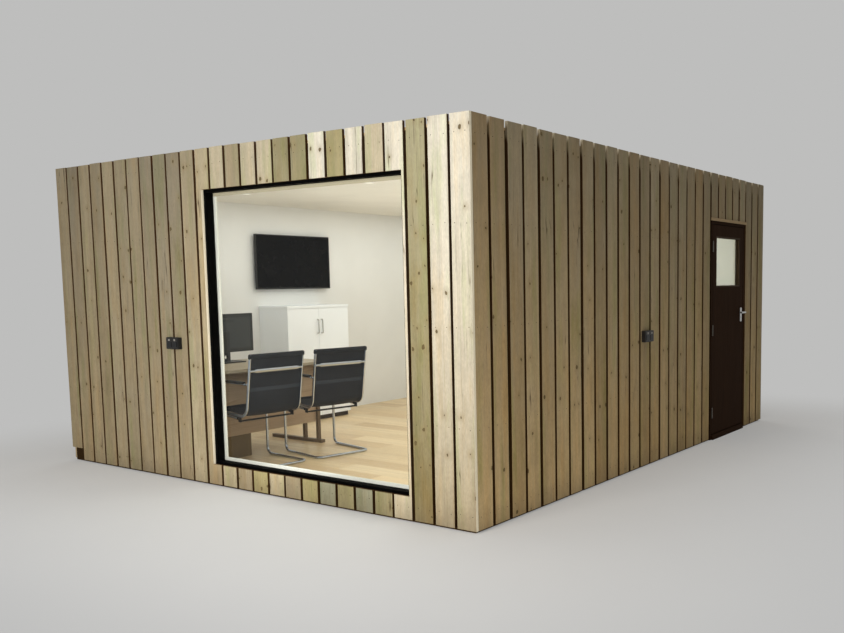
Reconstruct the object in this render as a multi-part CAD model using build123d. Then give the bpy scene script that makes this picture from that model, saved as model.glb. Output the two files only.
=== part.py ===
from build123d import *
import math
import os

# A timber office pod: board-clad stud walls, one fixed picture window in the front wall,
# a side-hung door in the right wall, a flat boarded roof and a furnished white room.
# X runs along the front wall to the right, Y runs from the front wall to the back, Z is up.
# The origin is the middle of the footprint at ground level. All sizes are in millimetres.

# Outside size over the boards
WIDTH = 4341.0
LENGTH = 4857.0
HEIGHT = 2440.0

# Wall build-up
BOARD = 20.0
BOARD_FOOT = 15.0
WALL = 80.0

# Floor, ceiling and roof
FLOOR_BASE = 50.0
FLOOR_BOARD = 12.0
CEILING_BOARD = 12.0
JOIST_HEIGHT = 100.0
JOIST_WIDTH = 47.0
JOIST_SPACING = 400.0
ROOF_BOARD = 18.0
PARAPET = 40.0

# Picture window in the front wall, which ends this far under the top of the boards
WINDOW_WIDTH = 1914.0
WINDOW_HEADER = 288.0
WINDOW_SILL = 162.0
WINDOW_FROM_CORNER = 522.0
WINDOW_FRAME = 20.0
WINDOW_FRAME_DEPTH = 62.0
WINDOW_GLASS = 6.0
WINDOW_GLASS_PLAY = 2.0
WINDOW_BEAD = 42.0

# Door in the right wall near the back corner, hung on its edge nearer to the front
DOOR_FROM_BACK = 527.0
LEAF_WIDTH = 762.0
LEAF_HEIGHT = 1929.0
LEAF_THICKNESS = 44.0
HINGE_GAP = 5.0
LATCH_GAP = 7.0
HEAD_GAP = 5.0
FOOT_GAP = 7.0
STOP_GAP = 5.0
JAMB = 28.0
LEAF_SETBACK = 3.0
STOP = 15.0
THRESHOLD = 45.0
THRESHOLD_NOSE = 15.0
THRESHOLD_NOSE_HEIGHT = 25.0
TRIM_HEIGHT = 25.0
TRIM_DEPTH = 12.0
TRIM_OVERLAP = 20.0

# Vision panel in the door leaf
VISION_WIDTH = 596.0
VISION_HEIGHT = 466.0
VISION_SILL = 1360.0
DOOR_GLASS = 6.0
DOOR_GLASS_PLAY = 2.0
DOOR_BEAD = 14.0

# Butt hinges
HINGE_LENGTH = 99.0
HINGE_PLATE = 1.9
HINGE_PLATE_WIDTH = 30.0
HINGE_PROUD = 6.5
KNUCKLE_RADIUS = 5.8
PIN_RADIUS = 3.0
PIN_CLEARANCE = 0.08
KNUCKLE_PLAY = 0.5
HINGE_END = 150.0

# Lever handles on back plates
LEVER_HEIGHT = 1108.0
LEVER_BACKSET = 55.0
LEVER_RADIUS = 9.0
LEVER_CLEARANCE = 0.08
LEVER_REACH = 45.0
LEVER_ARM = 112.0
PLATE_WIDTH = 42.0
PLATE_ABOVE = 45.0
PLATE_BELOW = 90.0
PLATE_THICKNESS = 7.0
PLATE_CORNER = 8.0
LEAF_BORE = 16.0

# Double sockets on the outside walls
SOCKET_WIDTH = 148.0
SOCKET_HEIGHT = 88.0
SOCKET_DEPTH = 32.0
SOCKET_CORNER = 6.0
SOCKET_RECESS = 40.0
SOCKET_RECESS_DEPTH = 3.0
SOCKET_CENTRE = 1043.0
FRONT_SOCKET_FROM_CORNER = 2818.0
RIGHT_SOCKET_FROM_CORNER = 2192.0

# Ceiling downlights
LIGHT_RADIUS = 42.0
LIGHT_DEPTH = 4.0
LIGHT_LENS_RADIUS = 30.0
LIGHT_LENS_RECESS = 1.5
LIGHT_COLUMNS = 3
LIGHT_ROWS = 2
LIGHT_COLUMN_SPACING = 1489.0
LIGHT_ROW_SPACING = 2550.0
LIGHT_FROM_RIGHT = 330.0
LIGHT_FROM_FRONT = 1050.0

# Television on the left wall
TV_WIDTH = 968.0
TV_HEIGHT = 556.0
TV_THICKNESS = 28.0
TV_FROM_FRONT = 1738.0
TV_BOTTOM = 1358.0
TV_BACK_WIDTH = 420.0
TV_BACK_HEIGHT = 300.0
TV_BACK_DEPTH = 32.0
TV_CORNER = 4.0

# Cupboard on the left wall
CUPBOARD_WIDTH = 806.0
CUPBOARD_DEPTH = 423.0
CUPBOARD_HEIGHT = 1190.0
CUPBOARD_FROM_FRONT = 1798.0
CUPBOARD_TOP = 25.0
CUPBOARD_TOP_OVERHANG = 4.0
CUPBOARD_PLINTH = 50.0
CUPBOARD_PLINTH_SETBACK = 25.0
CUPBOARD_DOOR = 18.0
CUPBOARD_DOOR_GAP = 3.0
PULL_LENGTH = 140.0
PULL_RADIUS = 5.0
PULL_PROUD = 26.0
PULL_FROM_EDGE = 26.0
PULL_TOP = 120.0

# Desk
DESK_LENGTH = 1310.0
DESK_DEPTH = 800.0
DESK_HEIGHT = 738.0
DESK_TOP = 25.0
DESK_FROM_FRONT = 30.0
DESK_FROM_RIGHT = 2650.0
PEDESTAL_WIDTH = 490.0
PEDESTAL_SETBACK = 140.0
PEDESTAL_FROM_END = 70.0
DRAWERS = 3
DRAWER_GAP = 4.0
DRAWER_GROOVE = 6.0
DESK_PANEL = 18.0
DESK_PANEL_CLEAR = 190.0
LEG_FOOT_HEIGHT = 28.0
LEG_FOOT_WIDTH = 40.0
LEG_FOOT_FROM_BACK = 85.0
LEG_FOOT_FROM_FRONT = 55.0
LEG_POST = 30.0
LEG_POST_FROM_FRONT = 114.0
LEG_POST_SPACING = 173.0
LEG_FROM_END = 30.0
LEG_BEAM = 40.0

# Monitor on the desk
MONITOR_WIDTH = 610.0
MONITOR_HEIGHT = 335.0
MONITOR_THICKNESS = 22.0
MONITOR_FROM_END = 290.0
MONITOR_BOTTOM = 85.0
MONITOR_SETBACK = 650.0
MONITOR_FOOT_WIDTH = 260.0
MONITOR_FOOT_DEPTH = 190.0
MONITOR_FOOT = 10.0
MONITOR_NECK_WIDTH = 84.0
MONITOR_NECK_DEPTH = 26.0
MONITOR_NECK_RISE = 0.55
MONITOR_CABLE_HOLE = 18.0
MONITOR_CABLE_HOLE_HEIGHT = 46.0

# Two cantilever chairs: foot of the back from the room's right and front faces, and turn
CHAIR_PLACES = [(2210.0, 410.0, 5.0), (2120.0, 981.0, 11.0)]
CHAIR_WIDTH = 480.0
CHAIR_HEIGHT = 888.0
CHAIR_SEAT_HEIGHT = 450.0
CHAIR_SEAT_DEPTH = 430.0
CHAIR_SEAT_DIP = 30.0
CHAIR_RECLINE = 80.0
CHAIR_RAIL_WIDTH = 12.0
CHAIR_RAIL_DEPTH = 24.0
CHAIR_RAIL_BEND = 80.0
CHAIR_SLING = 8.0
CHAIR_TUBE_RADIUS = 11.0
CHAIR_TUBE_BEND = 50.0
CHAIR_TOP_RUN = 330.0
CHAIR_ARM_HEIGHT = 660.0
CHAIR_ARM_SETBACK = 90.0
CHAIR_SPREADER_HEIGHT = 30.0
CHAIR_SPREADER_NECK = 17.0
CHAIR_SPREADER_DEPTH = 12.0
CHAIR_SPREADER_EDGE = 4.0
CHAIR_SPREADER_END = 46.0
CHAIR_BACK_SPREADER = 762.0
CHAIR_SEAT_SPREADERS = (170.0, 440.0)
CHAIR_WELD = 1.0

# The furniture's bent bars have flat sides, some of them level and upright
BAR_SIDES = 8

# Half a turn in degrees
HALF_TURN = 180.0

# Height of the chair's centre line where seat and back meet
CHAIR_REAR = CHAIR_SEAT_HEIGHT - CHAIR_RAIL_DEPTH / 2 - CHAIR_SEAT_DIP

# Faces worked out from the sizes above
RIGHT = WIDTH / 2
LEFT = -WIDTH / 2
FRONT = -LENGTH / 2
BACK = LENGTH / 2
SHELL = BOARD + WALL
ROOM_RIGHT = RIGHT - SHELL
ROOM_LEFT = LEFT + SHELL
ROOM_FRONT = FRONT + SHELL
ROOM_BACK = BACK - SHELL
FLOOR_TOP = FLOOR_BASE + FLOOR_BOARD
WALL_TOP = HEIGHT - PARAPET - ROOF_BOARD
JOIST_UNDER = WALL_TOP - JOIST_HEIGHT
CEILING_UNDER = JOIST_UNDER - CEILING_BOARD

WINDOW_RIGHT = RIGHT - WINDOW_FROM_CORNER
WINDOW_LEFT = WINDOW_RIGHT - WINDOW_WIDTH
WINDOW_HEAD = HEIGHT - WINDOW_HEADER
WINDOW_FRAME_FRONT = FRONT + BOARD
WINDOW_GLASS_FRONT = WINDOW_FRAME_FRONT + WINDOW_FRAME_DEPTH
WINDOW_BEAD_FRONT = WINDOW_GLASS_FRONT + WINDOW_GLASS

DOOR_FAR = BACK - DOOR_FROM_BACK
LEAF_FAR = DOOR_FAR - JAMB - LATCH_GAP
LEAF_NEAR = LEAF_FAR - LEAF_WIDTH
DOOR_NEAR = LEAF_NEAR - HINGE_GAP - JAMB
LEAF_FOOT = THRESHOLD + FOOT_GAP
LEAF_TOP = LEAF_FOOT + LEAF_HEIGHT
HEAD_UNDER = LEAF_TOP + HEAD_GAP
DOOR_HEAD = HEAD_UNDER + JAMB
LEAF_FRONT = RIGHT - LEAF_SETBACK
LEAF_BACK = LEAF_FRONT - LEAF_THICKNESS
HINGE_X = LEAF_FRONT + HINGE_PROUD
HINGE_Y = LEAF_NEAR - HINGE_GAP / 2
LEVER_Y = LEAF_FAR - LEVER_BACKSET
LEVER_Z = LEAF_FOOT + LEVER_HEIGHT
VISION_NEAR = LEAF_NEAR + (LEAF_WIDTH - VISION_WIDTH) / 2
VISION_FAR = VISION_NEAR + VISION_WIDTH
VISION_BOTTOM = LEAF_FOOT + VISION_SILL
VISION_TOP = VISION_BOTTOM + VISION_HEIGHT


def block(x0, x1, y0, y1, z0, z1):
    """A box given by its six faces."""
    return Pos((x0 + x1) / 2, (y0 + y1) / 2, (z0 + z1) / 2) * Box(x1 - x0, y1 - y0, z1 - z0)


def faceted_bar(path, radius):
    """A bar of flat sides that touch a circle of this radius. Its path starts across Y."""
    start = Plane(path @ 0, x_dir=(0, 1, 0), z_dir=path % 0)
    turn = HALF_TURN / BAR_SIDES
    outline = RegularPolygon(radius, BAR_SIDES, major_radius=False, rotation=turn)
    return sweep(start * outline, path=path)


def front_wall_panels(y0, y1, z0, z1, x0, x1):
    """The four panels that make a front layer round the window opening."""
    return {
        "left": block(x0, WINDOW_LEFT, y0, y1, z0, z1),
        "right": block(WINDOW_RIGHT, x1, y0, y1, z0, z1),
        "over": block(WINDOW_LEFT, WINDOW_RIGHT, y0, y1, WINDOW_HEAD, z1),
        "under": block(WINDOW_LEFT, WINDOW_RIGHT, y0, y1, z0, WINDOW_SILL),
    }


def right_wall_panels(x0, x1, z0, z1, y0, y1):
    """The three panels that make a right-hand layer round the doorway."""
    return {
        "front": block(x0, x1, y0, DOOR_NEAR, z0, z1),
        "back": block(x0, x1, DOOR_FAR, y1, z0, z1),
        "over": block(x0, x1, DOOR_NEAR, DOOR_FAR, DOOR_HEAD, z1),
    }


def make_walls():
    """Insulated stud panels, lined inside. The front and back ones run corner to corner."""
    front = front_wall_panels(FRONT + BOARD, ROOM_FRONT, 0, WALL_TOP, LEFT + BOARD, RIGHT - BOARD)
    right = right_wall_panels(ROOM_RIGHT, RIGHT - BOARD, 0, WALL_TOP, ROOM_FRONT, ROOM_BACK)
    return {
        "front_wall_left": front["left"],
        "front_wall_right": front["right"],
        "front_wall_over_window": front["over"],
        "front_wall_under_window": front["under"],
        "right_wall_front": right["front"],
        "right_wall_back": right["back"],
        "right_wall_over_door": right["over"],
        "left_wall": block(LEFT + BOARD, ROOM_LEFT, ROOM_FRONT, ROOM_BACK, 0, WALL_TOP),
        "back_wall": block(LEFT + BOARD, RIGHT - BOARD, ROOM_BACK, BACK - BOARD, 0, WALL_TOP),
    }


def make_cladding():
    """The layer of upright boards. Front and back boards lap the ends of the side ones."""
    front = front_wall_panels(FRONT, FRONT + BOARD, BOARD_FOOT, HEIGHT, LEFT, RIGHT)
    right = right_wall_panels(
        RIGHT - BOARD, RIGHT, BOARD_FOOT, HEIGHT, FRONT + BOARD, BACK - BOARD
    )
    return {
        "front_cladding_beside_window": Compound(children=[front["left"], front["right"]]),
        "front_cladding_above_and_below": Compound(children=[front["over"], front["under"]]),
        "right_cladding_beside_door": Compound(children=[right["front"], right["back"]]),
        "right_cladding_over_door": right["over"],
        "left_cladding": block(
            LEFT, LEFT + BOARD, FRONT + BOARD, BACK - BOARD, BOARD_FOOT, HEIGHT
        ),
        "back_cladding": block(LEFT, RIGHT, BACK - BOARD, BACK, BOARD_FOOT, HEIGHT),
    }


def make_floor_and_roof():
    """Floor layers, ceiling, joists across the room and the roof boards behind the wall tops."""
    joists = []
    y = ROOM_FRONT
    while y + JOIST_WIDTH <= ROOM_BACK:
        joists.append(block(ROOM_LEFT, ROOM_RIGHT, y, y + JOIST_WIDTH, JOIST_UNDER, WALL_TOP))
        y += JOIST_SPACING
    return {
        "floor_base": block(ROOM_LEFT, ROOM_RIGHT, ROOM_FRONT, ROOM_BACK, 0, FLOOR_BASE),
        "floor_boards": block(
            ROOM_LEFT, ROOM_RIGHT, ROOM_FRONT, ROOM_BACK, FLOOR_BASE, FLOOR_TOP
        ),
        "ceiling": block(
            ROOM_LEFT, ROOM_RIGHT, ROOM_FRONT, ROOM_BACK, CEILING_UNDER, JOIST_UNDER
        ),
        "roof_joists": Compound(children=joists),
        "roof_deck": block(
            LEFT + BOARD, RIGHT - BOARD, FRONT + BOARD, BACK - BOARD,
            WALL_TOP, WALL_TOP + ROOF_BOARD,
        ),
    }


def window_ring(thickness, y0, y1):
    """A rectangular ring that fits the window opening."""
    outer = block(WINDOW_LEFT, WINDOW_RIGHT, y0, y1, WINDOW_SILL, WINDOW_HEAD)
    inner = block(
        WINDOW_LEFT + thickness, WINDOW_RIGHT - thickness, y0, y1,
        WINDOW_SILL + thickness, WINDOW_HEAD - thickness,
    )
    return outer - inner


def make_window():
    """Dark outer frame, one fixed pane behind it, and pale beads that hold it from inside."""
    pane = block(
        WINDOW_LEFT + WINDOW_GLASS_PLAY, WINDOW_RIGHT - WINDOW_GLASS_PLAY,
        WINDOW_GLASS_FRONT, WINDOW_BEAD_FRONT,
        WINDOW_SILL + WINDOW_GLASS_PLAY, WINDOW_HEAD - WINDOW_GLASS_PLAY,
    )
    return {
        "window_frame": window_ring(WINDOW_FRAME, WINDOW_FRAME_FRONT, WINDOW_GLASS_FRONT),
        "window_glass": pane,
        "window_beads": window_ring(WINDOW_BEAD, WINDOW_BEAD_FRONT, ROOM_FRONT),
    }


def make_door_frame():
    """Jambs and head of the doorway, the white lining that the leaf closes in front of,
    the sill with its sloped nose, and the thin trim over the head."""
    jambs = [
        block(ROOM_RIGHT, LEAF_FRONT, DOOR_NEAR, DOOR_NEAR + JAMB, 0, HEAD_UNDER),
        block(ROOM_RIGHT, LEAF_FRONT, DOOR_FAR - JAMB, DOOR_FAR, 0, HEAD_UNDER),
    ]
    near = DOOR_NEAR + JAMB
    far = DOOR_FAR - JAMB
    stop_face = LEAF_BACK - STOP_GAP
    lining = block(ROOM_RIGHT, stop_face, near, far, THRESHOLD, HEAD_UNDER)
    lining -= block(
        ROOM_RIGHT, stop_face, near + STOP, far - STOP, THRESHOLD, HEAD_UNDER - STOP
    )
    nose = RIGHT + THRESHOLD_NOSE
    profile = Plane.XZ * Polyline(
        (ROOM_RIGHT, 0), (nose, 0), (nose, THRESHOLD_NOSE_HEIGHT),
        (LEAF_FRONT, THRESHOLD), (ROOM_RIGHT, THRESHOLD), close=True,
    )
    sill = Pos(0, far, 0) * extrude(make_face(profile), far - near)
    return {
        "door_jambs": Compound(children=jambs),
        "door_frame_head": block(
            ROOM_RIGHT, LEAF_FRONT, DOOR_NEAR, DOOR_FAR, HEAD_UNDER, DOOR_HEAD
        ),
        "door_lining": lining,
        "door_threshold": sill,
        "door_head_trim": block(
            RIGHT, RIGHT + TRIM_DEPTH, DOOR_NEAR - TRIM_OVERLAP, DOOR_FAR + TRIM_OVERLAP,
            DOOR_HEAD, DOOR_HEAD + TRIM_HEIGHT,
        ),
    }


def make_door_leaf():
    """Flush leaf with a vision panel: the pane sits between two rings of beads."""
    leaf = block(LEAF_BACK, LEAF_FRONT, LEAF_NEAR, LEAF_FAR, LEAF_FOOT, LEAF_TOP)
    leaf -= block(
        LEAF_BACK, LEAF_FRONT, VISION_NEAR, VISION_FAR, VISION_BOTTOM, VISION_TOP
    )
    middle = (LEAF_BACK + LEAF_FRONT) / 2
    leaf -= Pos(middle, LEVER_Y, LEVER_Z) * Rot(0, 90, 0) * Cylinder(LEAF_BORE, LEAF_THICKNESS)
    pane = block(
        middle - DOOR_GLASS / 2, middle + DOOR_GLASS / 2,
        VISION_NEAR + DOOR_GLASS_PLAY, VISION_FAR - DOOR_GLASS_PLAY,
        VISION_BOTTOM + DOOR_GLASS_PLAY, VISION_TOP - DOOR_GLASS_PLAY,
    )
    beads = []
    for x0, x1 in ((LEAF_BACK, middle - DOOR_GLASS / 2), (middle + DOOR_GLASS / 2, LEAF_FRONT)):
        ring = block(x0, x1, VISION_NEAR, VISION_FAR, VISION_BOTTOM, VISION_TOP)
        ring -= block(
            x0, x1, VISION_NEAR + DOOR_BEAD, VISION_FAR - DOOR_BEAD,
            VISION_BOTTOM + DOOR_BEAD, VISION_TOP - DOOR_BEAD,
        )
        beads.append(ring)
    return {
        "door_leaf": leaf,
        "door_glass": pane,
        "door_glass_beads": Compound(children=beads),
    }


def knuckle(z0, z1, bore):
    """A round hinge knuckle on the hinge axis, bored where the pin turns in it."""
    body = Pos(HINGE_X, HINGE_Y, (z0 + z1) / 2) * Cylinder(KNUCKLE_RADIUS, z1 - z0)
    if bore:
        body -= Pos(HINGE_X, HINGE_Y, (z0 + z1) / 2) * Cylinder(
            PIN_RADIUS + PIN_CLEARANCE, z1 - z0
        )
    return body


def hinge_pair(z0):
    """The two halves of one butt hinge whose foot is at z0."""
    z1 = z0 + HINGE_LENGTH
    third = HINGE_LENGTH / 3
    plate_back = LEAF_FRONT - HINGE_PLATE_WIDTH
    clear = HINGE_X - KNUCKLE_RADIUS - KNUCKLE_PLAY
    jamb_face = LEAF_NEAR - HINGE_GAP

    fixed = block(plate_back, clear, jamb_face, jamb_face + HINGE_PLATE, z0, z1)
    for low, high in ((z0, z0 + third), (z1 - third, z1)):
        fixed += block(plate_back, HINGE_X, jamb_face, jamb_face + HINGE_PLATE, low, high)
        fixed += knuckle(low, high, False)
    fixed += Pos(HINGE_X, HINGE_Y, (z0 + z1) / 2) * Cylinder(PIN_RADIUS, HINGE_LENGTH)

    low = z0 + third + KNUCKLE_PLAY
    high = z1 - third - KNUCKLE_PLAY
    moving = block(plate_back, clear, LEAF_NEAR - HINGE_PLATE, LEAF_NEAR, z0, z1)
    link = block(plate_back, HINGE_X, LEAF_NEAR - HINGE_PLATE, LEAF_NEAR, low, high)
    moving += link + knuckle(low, high, False)
    moving -= Pos(HINGE_X, HINGE_Y, (low + high) / 2) * Cylinder(
        PIN_RADIUS + PIN_CLEARANCE, high - low
    )
    return fixed, moving


def make_hinges():
    """Three hinges: near the head, near the foot and half-way."""
    low = LEAF_FOOT + HINGE_END
    high = LEAF_TOP - HINGE_END - HINGE_LENGTH
    fixed = []
    moving = []
    for z0 in (low, (low + high) / 2, high):
        one, other = hinge_pair(z0)
        fixed.append(one)
        moving.append(other)
    return {
        "hinges_on_frame": Compound(children=fixed),
        "hinges_on_door": Compound(children=moving),
    }


def make_lever():
    """Back plates on both faces of the leaf, and one mitred bar that is both levers."""
    plates = []
    outer_face = LEAF_FRONT + PLATE_THICKNESS
    inner_face = LEAF_BACK - PLATE_THICKNESS
    for x0, x1 in ((LEAF_FRONT, outer_face), (inner_face, LEAF_BACK)):
        plate = block(
            x0, x1, LEVER_Y - PLATE_WIDTH / 2, LEVER_Y + PLATE_WIDTH / 2,
            LEVER_Z - PLATE_BELOW, LEVER_Z + PLATE_ABOVE,
        )
        plate = fillet(plate.edges().filter_by(Axis.X), PLATE_CORNER)
        plate -= Pos((x0 + x1) / 2, LEVER_Y, LEVER_Z) * Rot(0, 90, 0) * Cylinder(
            LEVER_RADIUS + LEVER_CLEARANCE, PLATE_THICKNESS
        )
        plates.append(plate)
    outer = outer_face + LEVER_REACH
    inner = inner_face - LEVER_REACH
    tip = LEVER_Y - LEVER_ARM
    route = Polyline(
        (outer, tip, LEVER_Z), (outer, LEVER_Y, LEVER_Z),
        (inner, LEVER_Y, LEVER_Z), (inner, tip, LEVER_Z),
    )
    start = Plane(route @ 0, z_dir=route % 0)
    levers = sweep(start * Circle(LEVER_RADIUS), path=route, transition=Transition.RIGHT)
    return {
        "lever_plates": Compound(children=plates),
        "door_levers": levers,
    }


def socket_box():
    """A metal double socket centred on the origin, facing -Y, with its back on Y = 0."""
    box = Pos(0, -SOCKET_DEPTH / 2, 0) * Box(SOCKET_WIDTH, SOCKET_DEPTH, SOCKET_HEIGHT)
    box = fillet(box.edges().filter_by(Axis.Y), SOCKET_CORNER)
    for side in (-1, 1):
        box -= Pos(
            side * SOCKET_WIDTH / 4, SOCKET_RECESS_DEPTH / 2 - SOCKET_DEPTH, 0
        ) * Box(SOCKET_RECESS, SOCKET_RECESS_DEPTH, SOCKET_RECESS)
    return box


def make_sockets():
    """One double socket on the front boards and one on the right-hand boards."""
    front = Pos(RIGHT - FRONT_SOCKET_FROM_CORNER, FRONT, SOCKET_CENTRE) * socket_box()
    right = (
        Pos(RIGHT, FRONT + RIGHT_SOCKET_FROM_CORNER, SOCKET_CENTRE)
        * Rot(0, 0, 90)
        * socket_box()
    )
    return {"front_socket": front, "right_socket": right}


def make_downlights():
    """Round ceiling lights in rows, each a bezel with a slightly sunk lens."""
    lights = []
    for column in range(LIGHT_COLUMNS):
        for row in range(LIGHT_ROWS):
            x = ROOM_RIGHT - LIGHT_FROM_RIGHT - column * LIGHT_COLUMN_SPACING
            y = ROOM_FRONT + LIGHT_FROM_FRONT + row * LIGHT_ROW_SPACING
            body = Pos(x, y, CEILING_UNDER - LIGHT_DEPTH / 2) * Cylinder(
                LIGHT_RADIUS, LIGHT_DEPTH
            )
            sunk = CEILING_UNDER - LIGHT_DEPTH + LIGHT_LENS_RECESS / 2
            body -= Pos(x, y, sunk) * Cylinder(LIGHT_LENS_RADIUS, LIGHT_LENS_RECESS)
            lights.append(body)
    return {"downlights": Compound(children=lights)}


def make_television():
    """A thin screen whose back box stands on the left wall."""
    near = ROOM_FRONT + TV_FROM_FRONT
    bottom = FLOOR_TOP + TV_BOTTOM
    back = ROOM_LEFT + TV_BACK_DEPTH
    screen = block(
        back, back + TV_THICKNESS, near, near + TV_WIDTH, bottom, bottom + TV_HEIGHT
    )
    screen = fillet(screen.edges().filter_by(Axis.X), TV_CORNER)
    middle_y = near + TV_WIDTH / 2
    middle_z = bottom + TV_HEIGHT / 2
    housing = block(
        ROOM_LEFT, back, middle_y - TV_BACK_WIDTH / 2, middle_y + TV_BACK_WIDTH / 2,
        middle_z - TV_BACK_HEIGHT / 2, middle_z + TV_BACK_HEIGHT / 2,
    )
    return {"television": screen + housing}


def make_cupboard():
    """Two-door cupboard on a set-back plinth, with a lid, door fronts and bar pulls."""
    near = ROOM_FRONT + CUPBOARD_FROM_FRONT
    far = near + CUPBOARD_WIDTH
    front = ROOM_LEFT + CUPBOARD_DEPTH
    top = FLOOR_TOP + CUPBOARD_HEIGHT
    carcass_front = front - CUPBOARD_DOOR
    lid_under = top - CUPBOARD_TOP
    plinth_top = FLOOR_TOP + CUPBOARD_PLINTH
    body = block(ROOM_LEFT, carcass_front, near, far, plinth_top, lid_under)
    body += block(
        ROOM_LEFT, carcass_front - CUPBOARD_PLINTH_SETBACK, near, far, FLOOR_TOP, plinth_top
    )
    body += block(
        ROOM_LEFT, front + CUPBOARD_TOP_OVERHANG, near - CUPBOARD_TOP_OVERHANG,
        far + CUPBOARD_TOP_OVERHANG, lid_under, top,
    )
    middle = (near + far) / 2
    for side in (-1, 1):
        edge = middle + side * CUPBOARD_DOOR_GAP / 2
        outer = middle + side * (CUPBOARD_WIDTH / 2)
        body += block(
            carcass_front, front, min(edge, outer), max(edge, outer),
            plinth_top, lid_under - CUPBOARD_DOOR_GAP,
        )
        pull_y = middle + side * PULL_FROM_EDGE
        pull_top = lid_under - PULL_TOP
        route = FilletPolyline(
            (front, pull_y, pull_top), (front + PULL_PROUD, pull_y, pull_top),
            (front + PULL_PROUD, pull_y, pull_top - PULL_LENGTH),
            (front, pull_y, pull_top - PULL_LENGTH), radius=2 * PULL_RADIUS,
        )
        body += faceted_bar(route, PULL_RADIUS)
    return {"cupboard": body}


def make_desk():
    """Wooden top carried by a drawer pedestal at one end and a steel leg with twin uprights
    at the other. A panel closes the side where the visitors sit, so the drawers face away from it."""
    front_edge = ROOM_RIGHT - DESK_FROM_RIGHT
    back_edge = front_edge - DESK_DEPTH
    near = ROOM_FRONT + DESK_FROM_FRONT
    far = near + DESK_LENGTH
    top = FLOOR_TOP + DESK_HEIGHT
    under = top - DESK_TOP

    ped_near = near + PEDESTAL_FROM_END
    ped_front = front_edge - PEDESTAL_SETBACK
    pedestal = block(back_edge, ped_front, ped_near, ped_near + PEDESTAL_WIDTH, FLOOR_TOP, under)
    for number in range(1, DRAWERS):
        z = FLOOR_TOP + number * (under - FLOOR_TOP) / DRAWERS
        pedestal -= block(
            back_edge, back_edge + DRAWER_GROOVE, ped_near, ped_near + PEDESTAL_WIDTH,
            z, z + DRAWER_GAP,
        )

    foot_top = FLOOR_TOP + LEG_FOOT_HEIGHT
    foot_far = far - LEG_FROM_END
    post_near = foot_far - (LEG_FOOT_WIDTH + LEG_POST) / 2
    post_far = post_near + LEG_POST
    leg_back = back_edge + LEG_FOOT_FROM_BACK
    leg_front = front_edge - LEG_FOOT_FROM_FRONT
    leg = block(leg_back, leg_front, foot_far - LEG_FOOT_WIDTH, foot_far, FLOOR_TOP, foot_top)
    leg += block(leg_back, leg_front, post_near, post_far, under - LEG_BEAM, under)
    for setback in (LEG_POST_FROM_FRONT, LEG_POST_FROM_FRONT + LEG_POST_SPACING):
        x = front_edge - setback
        leg += block(x - LEG_POST / 2, x + LEG_POST / 2, post_near, post_far, foot_top, under)
    panel = block(
        ped_front, ped_front + DESK_PANEL, ped_near, post_near,
        FLOOR_TOP + DESK_PANEL_CLEAR, under,
    )
    return {
        "desk_top": block(back_edge, front_edge, near, far, under, top),
        "desk_pedestal": pedestal,
        "desk_panel": panel,
        "desk_leg": leg,
    }


def make_monitor():
    """A flat screen that faces away from the chairs, on a neck and foot that stand on the desk
    on the chairs' side of it. The neck has a round hole for cables."""
    desk_z = FLOOR_TOP + DESK_HEIGHT
    back = ROOM_RIGHT - DESK_FROM_RIGHT - MONITOR_SETBACK
    near = ROOM_FRONT + DESK_FROM_FRONT + DESK_LENGTH - MONITOR_FROM_END - MONITOR_WIDTH
    middle = near + MONITOR_WIDTH / 2
    bottom = desk_z + MONITOR_BOTTOM
    body = block(
        back - MONITOR_THICKNESS, back, near, near + MONITOR_WIDTH, bottom, bottom + MONITOR_HEIGHT
    )
    neck_front = back + MONITOR_NECK_DEPTH
    neck = block(
        back, neck_front, middle - MONITOR_NECK_WIDTH / 2, middle + MONITOR_NECK_WIDTH / 2,
        desk_z + MONITOR_FOOT, bottom + MONITOR_HEIGHT * MONITOR_NECK_RISE,
    )
    hole_z = desk_z + MONITOR_CABLE_HOLE_HEIGHT
    neck -= Pos((back + neck_front) / 2, middle, hole_z) * Rot(0, 90, 0) * Cylinder(
        MONITOR_CABLE_HOLE, MONITOR_NECK_DEPTH
    )
    foot = block(
        neck_front - MONITOR_FOOT_DEPTH / 2, neck_front + MONITOR_FOOT_DEPTH / 2,
        middle - MONITOR_FOOT_WIDTH / 2, middle + MONITOR_FOOT_WIDTH / 2,
        desk_z, desk_z + MONITOR_FOOT,
    )
    return {"monitor": body + neck + foot}


def chair_line(y):
    """Centre line of seat and back at one width: front of the seat, rear of the seat, top."""
    front = CHAIR_RECLINE + CHAIR_SEAT_DEPTH
    seat = CHAIR_SEAT_HEIGHT - CHAIR_RAIL_DEPTH / 2
    return FilletPolyline(
        (front, y, seat), (CHAIR_RECLINE, y, seat - CHAIR_SEAT_DIP), (0, y, CHAIR_HEIGHT),
        radius=CHAIR_RAIL_BEND,
    )


def back_at(height):
    """How far forward the reclined back line is at a height."""
    return CHAIR_RECLINE * (CHAIR_HEIGHT - height) / (CHAIR_HEIGHT - CHAIR_REAR)


def seat_at(forward):
    """Height of the seat line at a distance forward."""
    return CHAIR_REAR + CHAIR_SEAT_DIP * (forward - CHAIR_RECLINE) / CHAIR_SEAT_DEPTH


def flat_strip(y, width, depth):
    """A strip of rectangular section that follows the seat and back line."""
    line = chair_line(y)
    start = Plane(line @ 0, x_dir=(0, 1, 0), z_dir=line % 0)
    return sweep(start * Rectangle(width, depth), path=line)


def spreader_section(height):
    """The outline across a flat bar whose four long edges are cut off."""
    outline = Rectangle(height, CHAIR_SPREADER_DEPTH)
    return Plane.XZ * chamfer(outline.vertices(), CHAIR_SPREADER_EDGE)


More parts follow.
